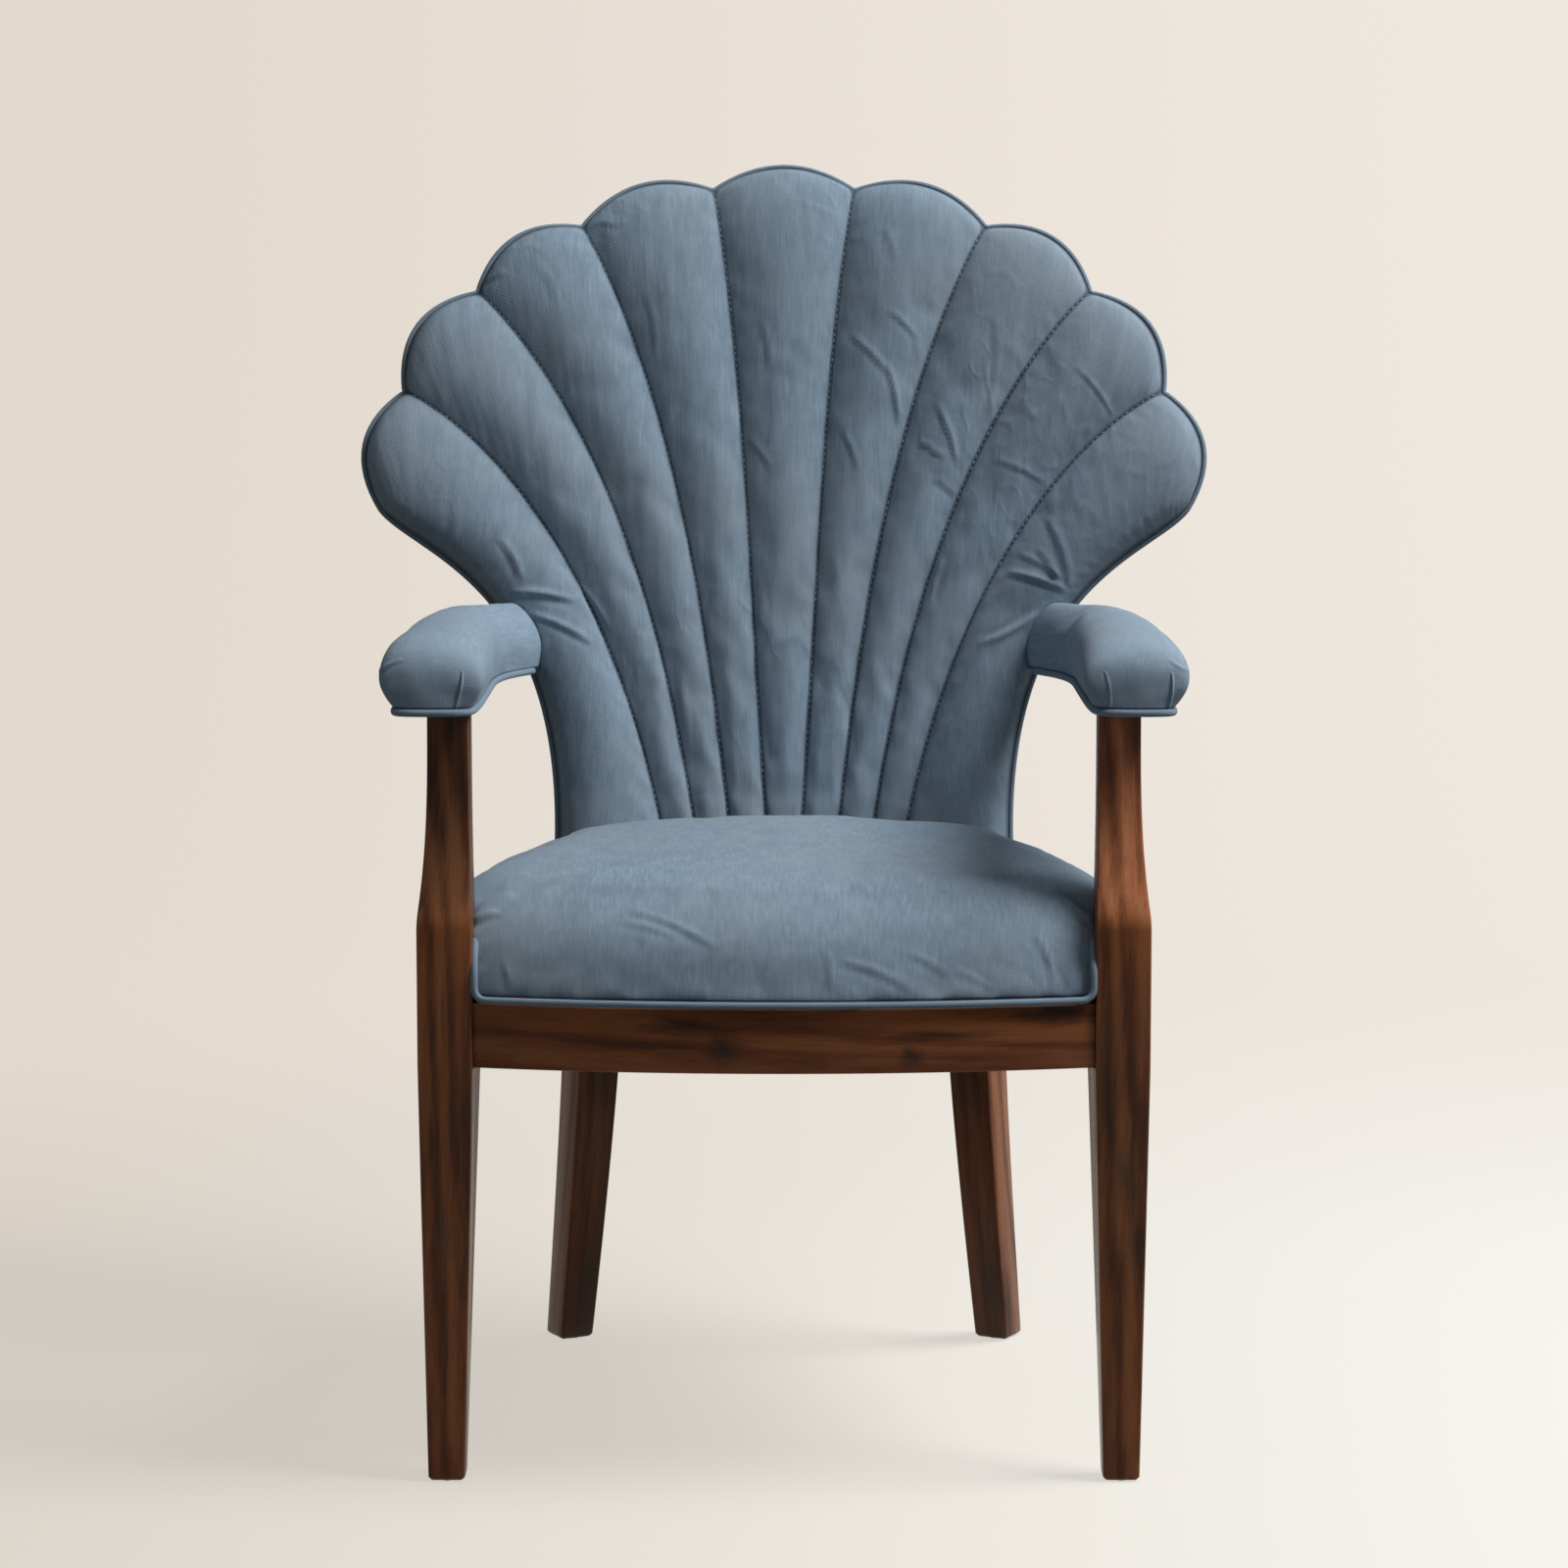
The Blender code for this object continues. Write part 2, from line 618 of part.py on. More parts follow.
def rear_leg_rings(grow=0.0):
    below = [mix(LEG_BASE, KNEE_HEIGHT, step / 5) for step in range(5)]
    above = [mix(RAIL_TOP, UPRIGHT_TOP, step / 6) for step in range(7)]
    heights = [below[0] - grow, *below[1:], KNEE_HEIGHT, RAIL_BOTTOM, *above[:-1], UPRIGHT_TOP + grow]
    return [rear_leg_ring(z, grow) for z in heights]


def chamfer_corners(bm, loops):
    long_edges = []
    for lower, upper in zip(loops, loops[1:]):
        long_edges += [bm.edges.get((a, b)) for a, b in zip(lower, upper)]
    foot_edges = [bm.edges.get((a, b)) for a, b in zip(loops[0], loops[0][1:] + loops[0][:1])]
    bmesh.ops.bevel(
        bm, geom=long_edges + foot_edges, offset=LEG_CHAMFER, segments=1, affect="EDGES", clamp_overlap=True
    )


def post_tenon_outline(grow=0.0):
    x, y = POST_OUTER - POST_WIDTH / 2, POST_SETBACK + POST_DEPTH / 2
    half = POST_TENON / 2 + grow
    return [(x - half, y - half), (x + half, y - half), (x + half, y + half), (x - half, y + half)]


def make_front_legs():
    legs, cutters = {}, {}
    tenon = [
        [(x, y, z) for x, y in post_tenon_outline()] for z in (POST_TOP, POST_TOP + POST_TENON_LENGTH)
    ]
    for name, side in SIDES:
        bm, loops = lofted([mirrored(ring, side) for ring in front_leg_rings() + tenon])
        chamfer_corners(bm, loops[:-len(tenon)])
        legs[side] = mesh_part(f"front_leg_{name}", bm, "walnut")
        shape, _ = lofted([mirrored(ring, side) for ring in front_leg_rings(CLEARANCE)])
        cutters[side] = cutter(f"front_leg_space_{name}", shape)
    return legs, cutters


def make_rear_legs():
    legs, cutters = {}, {}
    for name, side in SIDES:
        bm, loops = lofted([mirrored(ring, side) for ring in rear_leg_rings()])
        chamfer_corners(bm, loops)
        legs[side] = mesh_part(f"rear_leg_{name}", bm, "walnut")
        shape, _ = lofted([mirrored(ring, side) for ring in rear_leg_rings(CLEARANCE)])
        cutters[side] = cutter(f"rear_leg_space_{name}", shape)
    return legs, cutters


def make_glides(front_legs, rear_legs):
    profile = (
        (0.0, GLIDE_HEIGHT + GLIDE_STEM_LENGTH),
        (GLIDE_STEM_RADIUS, GLIDE_HEIGHT + GLIDE_STEM_LENGTH - GLIDE_STEM_RADIUS),
        (GLIDE_STEM_RADIUS, GLIDE_HEIGHT),
        (GLIDE_RADIUS, GLIDE_HEIGHT),
        (GLIDE_RADIUS, 0.0),
        (0.0, 0.0),
    )
    front = front_leg_ring(LEG_BASE)
    front_x = (front[0][0] + front[1][0]) / 2
    front_y = (front[0][1] + front[2][1]) / 2
    rear_x, rear_y, _ = rear_leg_place(LEG_BASE)
    for end, legs, x, y in (("front", front_legs, front_x, front_y), ("rear", rear_legs, rear_x, rear_y)):
        for name, side in SIDES:
            glide = turned(f"glide_{end}_{name}", profile, "nylon")
            glide.location = (side * x, y, 0.0)
            hole = bore(
                f"glide_hole_{end}_{name}", Vector((side * x, y, 0.0)), Vector((0, 0, 1)),
                GLIDE_STEM_RADIUS + HOLE_CLEARANCE, GLIDE_HEIGHT + GLIDE_STEM_LENGTH + HOLE_CLEARANCE,
            )
            cut(legs[side], hole)


# Seat frame

def mortise(name, x_range, y_range):
    outline = [
        (x_range[0], y_range[0]), (x_range[1], y_range[0]),
        (x_range[1], y_range[1]), (x_range[0], y_range[1]),
    ]
    return cutter(name, extruded(outline, RAIL_BOTTOM - CLEARANCE, RAIL_TOP + CLEARANCE))


def make_front_rail(front_legs):
    shoulder = LEG_INNER - CLEARANCE
    tip = LEG_INNER + TONGUE_LENGTH
    tongue_front = RAIL_SETBACK + (RAIL_THICKNESS - TONGUE_THICKNESS) / 2
    tongue_rear = tongue_front + TONGUE_THICKNESS
    steps = 12
    bow = [shoulder * (2 * i / steps - 1) for i in range(steps + 1)]
    outline = [(x, front_face_y(x)) for x in bow]
    outline += [(shoulder, tongue_front), (tip, tongue_front), (tip, tongue_rear), (shoulder, tongue_rear)]
    outline += [(shoulder, RAIL_INNER_Y), (-shoulder, RAIL_INNER_Y)]
    outline += [(-shoulder, tongue_rear), (-tip, tongue_rear), (-tip, tongue_front), (-shoulder, tongue_front)]
    rail = mesh_part("seat_rail_front", extruded(outline, RAIL_BOTTOM, RAIL_TOP), "walnut", math.radians(20))
    for name, side in SIDES:
        ends = sorted((side * (LEG_INNER - LEG_CHAMFER), side * (tip + CLEARANCE)))
        slot = mortise(f"front_mortise_{name}", ends, (tongue_front - CLEARANCE, tongue_rear + CLEARANCE))
        cut(front_legs[side], slot)
    return rail


def make_side_rails(front_legs, rear_spaces):
    rails = {}
    middle = SIDE_FRONT_X - RAIL_THICKNESS / 2
    tongue_inner = middle - TONGUE_THICKNESS / 2
    tongue_outer = middle + TONGUE_THICKNESS / 2
    tip = LEG_DEPTH - TONGUE_LENGTH
    outline = [
        (tongue_inner, tip), (tongue_outer, tip), (tongue_outer, SIDE_FRONT_Y), (SIDE_FRONT_X, SIDE_FRONT_Y),
        (SIDE_REAR_X, SIDE_REAR_Y), (SIDE_REAR_X - RAIL_THICKNESS, SIDE_REAR_Y),
        (SIDE_FRONT_X - RAIL_THICKNESS, SIDE_FRONT_Y), (tongue_inner, SIDE_FRONT_Y),
    ]
    for name, side in SIDES:
        bm = extruded(mirrored(outline, side), RAIL_BOTTOM, RAIL_TOP)
        rails[side] = mesh_part(f"seat_rail_{name}", bm, "walnut")
        cut(rails[side], rear_spaces[side])
        ends = sorted((side * (tongue_inner - CLEARANCE), side * (tongue_outer + CLEARANCE)))
        slot = mortise(f"side_mortise_{name}", ends, (tip - CLEARANCE, LEG_DEPTH + LEG_CHAMFER))
        cut(front_legs[side], slot)
    return rails


def make_rear_rail(rear_spaces):
    front, rear = REAR_RAIL_FRONT, REAR_RAIL_FRONT + RAIL_THICKNESS
    outline = [(-REAR_X, front), (REAR_X, front), (REAR_X, rear), (-REAR_X, rear)]
    rail = mesh_part("seat_rail_rear", extruded(outline, RAIL_BOTTOM, RAIL_TOP), "walnut")
    cut(rail, rear_spaces[-1], rear_spaces[1])
    return rail


def block_screw(name, block, rail, spot, direction):
    # The spot is on the rail's inner face, and the screw runs through the block into the rail.
    head = spot - direction * BLOCK_UNDER_HEAD
    length = BLOCK_UNDER_HEAD + SCREW_BITE
    fastener(name, head, direction, length, SCREW_RADIUS, SCREW_HEAD_RADIUS, SCREW_HEAD_HEIGHT)
    hole = bore(
        f"{name}_hole", head - direction * CLEARANCE, direction,
        SCREW_RADIUS + HOLE_CLEARANCE, length + 2 * CLEARANCE,
    )
    pocket = bore(
        f"{name}_pocket", head + direction * CLEARANCE, -direction,
        SCREW_HEAD_RADIUS + HOLE_CLEARANCE, BLOCK_LEG,
    )
    cut(block, hole, pocket)
    cut(rail, hole)


def make_corner_blocks(rails, side_rails, front_spaces, rear_spaces):
    low = RAIL_MIDDLE - BLOCK_HEIGHT / 2
    along_side = side_rail_direction()
    ends = (
        ("front", rails["front"], front_spaces, RAIL_INNER_Y + CLEARANCE, 1),
        ("rear", rails["rear"], rear_spaces, REAR_RAIL_FRONT - CLEARANCE, -1),
    )
    for end, rail, spaces, face_y, inward in ends:
        inner_x = side_rail_x(face_y, RAIL_THICKNESS + CLEARANCE)
        corner = Vector((inner_x, face_y))
        side_run = along_side * inward
        outline = [corner, corner + side_run * BLOCK_LEG, corner - Vector((BLOCK_LEG, 0))]
        for name, side in SIDES:
            bm = extruded([(side * x, y) for x, y in outline], low, low + BLOCK_HEIGHT)
            block = mesh_part(f"corner_block_{end}_{name}", bm, "inner wood")
            cut(block, spaces[side])
            spot = corner - Vector((BLOCK_SCREW_OFFSET, 0))
            block_screw(
                f"corner_screw_{end}_{name}_a", block, rail,
                Vector((side * spot.x, spot.y, RAIL_MIDDLE)), Vector((0, -inward, 0)),
            )
            spot = corner + side_run * BLOCK_SCREW_OFFSET
            outward = Vector((along_side.y, -along_side.x))
            block_screw(
                f"corner_screw_{end}_{name}_b", block, side_rails[side],
                Vector((side * spot.x, spot.y, RAIL_MIDDLE)), Vector((side * outward.x, outward.y, 0)),
            )


def make_dust_cover(front_spaces, rear_spaces):
    high = RAIL_BOTTOM - CLEARANCE
    front = RAIL_SETBACK + DUST_COVER_INSET
    rear = REAR_RAIL_FRONT + RAIL_THICKNESS - DUST_COVER_INSET
    front_x = side_rail_x(front, DUST_COVER_INSET)
    rear_x = side_rail_x(rear, DUST_COVER_INSET)
    outline = [(-front_x, front), (front_x, front), (rear_x, rear), (-rear_x, rear)]
    cover = mesh_part("dust_cover", extruded(outline, high - DUST_COVER_THICKNESS, high), "black cambric")
    cut(cover, *front_spaces.values(), *rear_spaces.values())


# Webbing

def strap(name, ends, crossings, first_over):
    # A strap between two points on the rails, over and under the straps that it crosses.
    start, finish = ends
    run = finish - start
    across = Vector((-run.y, run.x)).normalized() * STRAP_WIDTH / 2
    low = RAIL_TOP + CLEARANCE + STRAP_THICKNESS / 2
    step_up = STRAP_THICKNESS + CLEARANCE
    margin = STRAP_WIDTH * STRAP_LIFT_SHARE / run.length
    stops = [(0.0, 0)]
    for order, share in enumerate(crossings):
        level = (order + first_over) % 2
        stops += [(share - margin, level), (share + margin, level)]
    stops.append((1.0, 0))

    def place(i, j):
        share, level = stops[j]
        spot = start + run * share + across * (2 * i - 1)
        return Vector((spot.x, spot.y, low + step_up * level))

    bm = bmesh.new()
    sheet(bm, 1, len(stops) - 1, place)
    band = mesh_part(name, bm, "webbing", math.radians(60))
    solid = band.modifiers.new("strap thickness", "SOLIDIFY")
    solid.thickness = STRAP_THICKNESS
    solid.offset = 0.0


def make_webbing():
    front, rear = RAIL_SETBACK + RAIL_THICKNESS / 2, REAR_Y
    spreads = list(zip(STRAP_FRONT_SPREADS, STRAP_REAR_SPREADS))
    lines = [(-a, -b) for a, b in spreads] + [(a, b) for a, b in reversed(spreads)]
    shares = [(j + 1) / (CROSS_STRAPS + 1) for j in range(CROSS_STRAPS)]
    for i, (front_x, rear_x) in enumerate(lines):
        ends = (Vector((front_x, front)), Vector((rear_x, rear)))
        strap(f"webbing_long_{i + 1}", ends, shares, i % 2)
    for j, share in enumerate(shares):
        y = mix(front, rear, share)
        reach = side_rail_x(y, RAIL_THICKNESS / 2)
        crossings = [(mix(a, b, share) + reach) / (2 * reach) for a, b in lines]
        ends = (Vector((-reach, y)), Vector((reach, y)))
        strap(f"webbing_cross_{j + 1}", ends, crossings, (j + 1) % 2)


# Seat upholstery

def seat_columns():
    left = [step - 1 for step in SEAT_SIDE_STEPS]
    return left + [0.0] + [-side for side in reversed(left)]


SEAT_COLUMNS = seat_columns()


def seat_surface(i, j):
    side, share = SEAT_COLUMNS[i], SEAT_ROWS[j]
    edge = edge_rise(share, SEAT_ROUNDING) * edge_rise(1 - abs(side), SEAT_SIDE_ROUNDING)
    crown = (1 - side * side) * (1 - (1 - share) ** 2)
    z = DECK + SEAT_EDGE * edge + SEAT_CROWN * crown
    near, far = front_face_y(SIDE_FRONT_X), back_y(SIDE_REAR_X, z, SEAT_TO_BACK)
    x = side * (min(SIDE_FRONT_X, side_rail_x(mix(near, far, share))) - COVER_GAP)
    y = mix(front_face_y(x) + COVER_GAP, back_y(x, z, SEAT_TO_BACK), share)
    return Vector((x, y, z))


def make_seat():
    columns, rows = len(SEAT_COLUMNS) - 1, len(SEAT_ROWS) - 1

    def seat_base(i, j):
        point = seat_surface(i, j)
        return Vector((point.x, point.y - (point.z - DECK) * math.tan(RAKE) * SEAT_ROWS[j], DECK - CLEARANCE))

    foam = mesh_part("seat_foam", slab(columns, rows, seat_surface, seat_base), "foam", math.radians(50))
    bm = bmesh.new()
    sheet(bm, columns, rows, seat_surface)
    cover = covering("seat_cover", bm, CLEARANCE, COVER_THICKNESS)
    for name, side in SIDES:
        for part, room in ((foam, 3 * CLEARANCE + COVER_THICKNESS), (cover, 2 * CLEARANCE)):
            shape, _ = lofted([mirrored(ring, side) for ring in front_leg_rings(room)])
            cut(part, cutter(f"{part.name}_notch_{name}", shape))


def make_seat_piping():
    drop = COVER_GAP + CLEARANCE + WELT_RADIUS
    z = RAIL_TOP + CLEARANCE + WELT_RADIUS
    reach = LEG_INNER - 2 * CLEARANCE
    steps = 14
    across = [reach * (2 * i / steps - 1) for i in range(steps + 1)]
    piping("seat_welt_front", [(x, front_face_y(x) + COVER_GAP - drop, z) for x in across])
    front = LEG_DEPTH + LEG_CHAMFER
    rear = back_y(SIDE_REAR_X, z, SEAT_TO_BACK)
    for name, side in SIDES:
        run = [mix(front, rear, step / 4) for step in range(5)]
        points = [(side * (side_rail_x(y) - COVER_GAP + drop), y, z) for y in run]
        piping(f"seat_welt_{name}", points)


# Back

def make_back_panel():
    columns, rows = len(PANEL_COLUMNS) - 1, len(PANEL_ROWS) - 1
    bm = slab(columns, rows, panel_face(0.0), panel_face(-PANEL_THICKNESS))
    return mesh_part("back_panel", bm, "plywood", math.radians(50))


def make_back_rail(name, rise, rear_spaces):
    front = -(PANEL_THICKNESS + CLEARANCE)
    rear = front - BACK_RAIL_THICKNESS
    reach = rear_leg_place(fan_point(0.0, rise + BACK_RAIL_HEIGHT / 2, front).z)[0]
    top = rise + BACK_RAIL_HEIGHT
    steps = 8
    rings = []
    for step in range(steps + 1):
        u = reach * (2 * step / steps - 1)
        corners = ((rise, front), (top, front), (top, rear), (rise, rear))
        rings.append([fan_point(u, h, w) for h, w in corners])
    bm, _ = lofted(rings)
    rail = mesh_part(name, bm, "inner wood")
    cut(rail, rear_spaces[-1], rear_spaces[1])
    return rail


def make_back_frame(panel, rear_spaces):
    number = 0
    for name, rise in (("back_lower_rail", LOWER_RAIL_RISE), ("back_cross_rail", CROSS_RAIL_RISE)):
        rail = make_back_rail(name, rise, rear_spaces)
        for side in (-1, 1):
            number += 1
            u, h = side * PANEL_SCREW_SPREAD, rise + BACK_RAIL_HEIGHT / 2
            forward = back_normal(u, h)
            head = fan_point(u, h, -(PANEL_THICKNESS + BACK_RAIL_THICKNESS + 2 * CLEARANCE))
            length = BACK_RAIL_THICKNESS + CLEARANCE + PANEL_SCREW_BITE
            fastener(
                f"panel_screw_{number}", head, forward, length,
                SCREW_RADIUS, SCREW_HEAD_RADIUS, SCREW_HEAD_HEIGHT,
            )
            hole = bore(
                f"panel_screw_{number}_hole", head - forward * CLEARANCE, forward,
                SCREW_RADIUS + HOLE_CLEARANCE, length + 3 * CLEARANCE,
            )
            cut(rail, hole)
            cut(panel, hole)


def make_back_upholstery(arm_spaces, tail_slots):
    columns, rows = len(FAN_COLUMNS) - 1, len(FAN_ROWS) - 1
    foam = mesh_part("back_foam", slab(columns, rows, padding_front, padding_rear), "foam", math.radians(50))
    front = bmesh.new()
    sheet(front, columns, rows, padding_front)
    cover = covering("back_cover_front", front, CLEARANCE, COVER_THICKNESS)
    rear = bmesh.new()
    sheet(rear, len(REAR_COLUMNS) - 1, len(REAR_ROWS) - 1, outside_back)
    bmesh.ops.reverse_faces(rear, faces=rear.faces)
    covering("back_cover_rear", rear, 0.0, COVER_THICKNESS)
    for part in (foam, cover):
        cut(part, *arm_spaces.values(), *tail_slots.values())
    piping("back_welt", [fan_point(spot.x, spot.y, 0.0) for spot in fan_outline()])


# Arms, worked out for the right side

def elbow_point(turn):
    x = ARM_SPREAD - ELBOW_RADIUS * (1 - math.cos(turn))
    y = ELBOW_SETBACK + ELBOW_RADIUS * math.sin(turn)
    return x, y


def run_to_back(x, y, z, w, turn):
    # Follows a direction from a point to a distance in front of the panel.
    length = 0.0
    for _ in range(12):
        target = back_y(x - length * math.sin(turn), z, w)
        length = (target - y) / math.cos(turn)
    return x - length * math.sin(turn), y + length * math.cos(turn)


def fan_edge_x(z):
    # Where the fan's edge stands at a height, found by halving along the neck.
    low, high = 0.0, 1.0
    for _ in range(40):
        v = (low + high) / 2
        place = fan_point(*channel_border(LOBES, v, 0.0), 0.0)
        if place.z < z:
            low = v
        else:
            high = v
    return place.x


def solved_elbow_turn():
    # The bend that brings the arm's centre line to its place by the fan's edge.
    target = fan_edge_x(ARM_BOTTOM) + ARM_END_OUT
    low, high = 0.0, math.pi / 3
    for _ in range(40):
        turn = (low + high) / 2
        if run_to_back(*elbow_point(turn), ARM_BOTTOM, ARM_PAD_END, turn)[0] > target:
            low = turn
        else:
            high = turn
    return turn


ELBOW_TURN = solved_elbow_turn()


def arm_width(y):
    if y < ELBOW_SETBACK:
        share = max(0.0, y - ARM_FRONT - ARM_NOSE) / (ELBOW_SETBACK - ARM_FRONT)
        return mix(ARM_WIDTH, ARM_ELBOW_WIDTH, share)
    share = min(1.0, (y - ELBOW_SETBACK) / (BACK_SETBACK - ELBOW_SETBACK))
    return mix(ARM_ELBOW_WIDTH, ARM_END_WIDTH, share)


def arm_stations():
    # Points on the arm's centre line, each with the direction that the arm turns to there.
    nose = ARM_FRONT + ARM_NOSE
    straight = [ARM_FRONT, ARM_FRONT + ARM_LIP, nose, mix(nose, ELBOW_SETBACK, 0.5), ELBOW_SETBACK]
    stations = [(ARM_SPREAD, y, 0.0) for y in straight]
    for turn in (ELBOW_TURN / 2, ELBOW_TURN):
        stations.append((*elbow_point(turn), turn))
    return stations


def arm_section(width):
    # Half outline of the pad's cage: distance from the centre line, and height.
    bulge = width / 2 - COVER_GAP
    foot = bulge - ARM_BULGE * (width / ARM_WIDTH) ** 3
    dome = bulge * ARM_DOME_SHARE
    middle = (6 * bulge - foot - dome) / 4
    return ((foot, 0.0), (middle, 0.45), (dome, 1.0))


def arm_cage_rings(*end_ws):
    # Rings of the pad's cage, the last ones parallel to the back panel at the distances given.
    rings = []
    for x, y, turn in arm_stations():
        half = arm_section(arm_width(y))
        section = [(-a, b) for a, b in half] + [(a, b) for a, b in reversed(half)]
        rings.append([
            (x + a * math.cos(turn), y + a * math.sin(turn), ARM_BOTTOM + b * ARM_CAGE_HEIGHT)
            for a, b in section
        ])
    narrow = ARM_END_WIDTH / arm_width(arm_stations()[-1][1])
    x, y, turn = arm_stations()[-1]
    narrowed = [(mix(x, px, narrow), mix(y, py, narrow), pz) for px, py, pz in rings[-1]]
    for end_w in end_ws:
        rings.append([(*run_to_back(px, py, pz, end_w, ELBOW_TURN), pz) for px, py, pz in narrowed])
    return rings


def arm_cage(side, closed, *end_ws):
    bm, loops = lofted([mirrored(ring, side) for ring in arm_cage_rings(*end_ws)])
    crease = bm.edges.layers.float.new("crease_edge")
    for loop in loops[-len(end_ws):]:
        for a, b in zip(loop, loop[1:] + loop[:1]):
            bm.edges.get((a, b))[crease] = 1.0
    for lower, upper in zip(loops, loops[1:]):
        for corner in (0, -1):
            bm.edges.get((lower[corner], upper[corner]))[crease] = 1.0
    bm.edges.get((loops[0][0], loops[0][-1]))[crease] = 1.0
    if not closed:
        floor = [bm.edges.get((loop[0], loop[-1])) for loop in loops]
        faces = {face for edge in floor[1:-1] for face in edge.link_faces}
        faces.add(next(face for face in bm.faces if set(face.verts) == set(loops[-1])))
        bmesh.ops.delete(bm, geom=list(faces), context="FACES")
    return bm


def smooth_cage(part):
    smooth = part.modifiers.new("soft form", "SUBSURF")
    smooth.levels = 1
    smooth.render_levels = 1


def arm_board_outline(grow):
    inner, outer = [], []
    for x, y, turn in arm_stations()[2:]:
        half = arm_section(arm_width(y))[0][0] - ARM_BOARD_MARGIN + grow
        inner.append((x - half * math.cos(turn), y - half * math.sin(turn)))
        outer.append((x + half * math.cos(turn), y + half * math.sin(turn)))
    first = arm_section(ARM_WIDTH)[0][0] - ARM_BOARD_MARGIN + grow
    nose = ARM_FRONT + ARM_BOARD_MARGIN + ARM_BULGE - grow
    inner.insert(0, (ARM_SPREAD - first, nose))
    outer.insert(0, (ARM_SPREAD + first, nose))
    return inner, outer


def arm_tail():
    # The tail runs from the board's shoulder to the middle of the upright.
    z = ARM_BOTTOM + ARM_BOARD_THICKNESS / 2
    x, y, _ = arm_stations()[-1]
    start = Vector((*run_to_back(x, y, z, 2 * ARM_PAD_END, ELBOW_TURN), z))
    start.x -= ARM_TAIL_SHIFT
    x, y, _ = rear_leg_place(z)
    return start, Vector((x, y, z))


def arm_tail_outline(grow):
    start, finish = arm_tail()
    run = (finish - start).normalized()
    across = Vector((run.y, -run.x, 0)) * (ARM_TAIL_HALF + grow)
    return [finish - across, start - across], [finish + across, start + across]


def make_arm_rails(rear_legs, rear_spaces, panel):
    top = ARM_BOTTOM + ARM_BOARD_THICKNESS
    spaces, slots = {}, {}
    for name, side in SIDES:
        inner, outer = arm_board_outline(0.0)
        tail_inner, tail_outer = arm_tail_outline(0.0)
        outline = inner + [(p.x, p.y) for p in reversed(tail_inner)]
        outline += [(p.x, p.y) for p in tail_outer] + list(reversed(outer))
        bm = extruded(mirrored(outline, side), ARM_BOTTOM, top)
        rail = mesh_part(f"arm_rail_{name}", bm, "inner wood")
        cut(rail, rear_spaces[side])
        hole = mirrored(post_tenon_outline(CLEARANCE), side)
        socket = extruded(hole, ARM_BOTTOM - CLEARANCE, POST_TOP + POST_TENON_LENGTH + CLEARANCE)
        cut(rail, cutter(f"post_socket_{name}", socket))
        inner, outer = arm_tail_outline(CLEARANCE)
        slot = [(p.x, p.y) for p in inner + list(reversed(outer))]
        bm = extruded(mirrored(slot, side), ARM_BOTTOM - CLEARANCE, top + CLEARANCE)
        slots[side] = cutter(f"arm_slot_{name}", bm)
        cut(panel, slots[side])
        make_arm_bolt(name, side, rail, rear_legs[side])
        inner, outer = arm_board_outline(CLEARANCE)
        end = [(p.x, p.y) for p in arm_tail_outline(CLEARANCE)[0]]
        far = [(p.x, p.y) for p in arm_tail_outline(CLEARANCE)[1]]
        recess = inner + list(reversed(end)) + far + list(reversed(outer))
        bm = extruded(mirrored(recess, side), ARM_BOTTOM - CLEARANCE, top + CLEARANCE)
        spaces[side] = cutter(f"arm_board_space_{name}", bm)
    return spaces, slots


def make_arm_bolt(name, side, rail, rear_leg):
    start, finish = arm_tail()
    run = (finish - start).normalized()
    size = rear_leg_place(finish.z)[2]
    forward = Vector((-side * run.x, -run.y, 0))
    middle = Vector((side * finish.x, finish.y, finish.z))
    head = middle - forward * size * BOLT_SEAT_SHARE
    length = size * BOLT_GRIP_SHARE + ARM_BOLT_BITE
    fastener(f"arm_bolt_{name}", head, forward, length, BOLT_RADIUS, BOLT_HEAD_RADIUS, BOLT_HEAD_HEIGHT)
    hole = bore(
        f"arm_bolt_hole_{name}", head - forward * CLEARANCE, forward,
        BOLT_RADIUS + HOLE_CLEARANCE, length + 2 * CLEARANCE,
    )
    pocket = bore(
        f"arm_bolt_pocket_{name}", head + forward * CLEARANCE, -forward,
        BOLT_HEAD_RADIUS + HOLE_CLEARANCE, size,
    )
    cut(rear_leg, hole, pocket)
    cut(rail, hole)


def make_arm_pads(board_spaces, tail_slots):
    back_spaces = {}
    for name, side in SIDES:
        pad = mesh_part(f"arm_pad_{name}", arm_cage(side, True, ARM_PAD_END), "foam", math.radians(60))
        smooth_cage(pad)
        cut(pad, board_spaces[side])
        skin = arm_cage(side, False, ARM_PAD_END)
        cover = mesh_part(f"arm_cover_{name}", skin, "blue linen", math.radians(60))
        smooth_cage(cover)
        lift = cover.modifiers.new("gap over the padding", "DISPLACE")
        lift.mid_level = 0.0
        lift.strength = CLEARANCE
        cloth = cover.modifiers.new("cloth thickness", "SOLIDIFY")
        cloth.thickness = COVER_THICKNESS
        cloth.offset = 1.0
        cut(cover, tail_slots[side])
        space = cutter(f"arm_space_{name}", arm_cage(side, True, ARM_PAD_END, -ARM_PAD_END))
        smooth_cage(space)
        room = space.modifiers.new("room for the cover", "DISPLACE")
        room.mid_level = 0.0
        room.strength = COVER_GAP + 2 * CLEARANCE
        back_spaces[side] = space
    return back_spaces


def softened(points):
    # The same smoothing as the pad's cage gets, so that the piping keeps to the pad's edge.
    soft = [points[0]]
    for before, point, after in zip(points, points[1:], points[2:]):
        soft += [(before + point) / 2, (before + 6 * point + after) / 8]
    return soft + [(points[-2] + points[-1]) / 2, points[-1]]


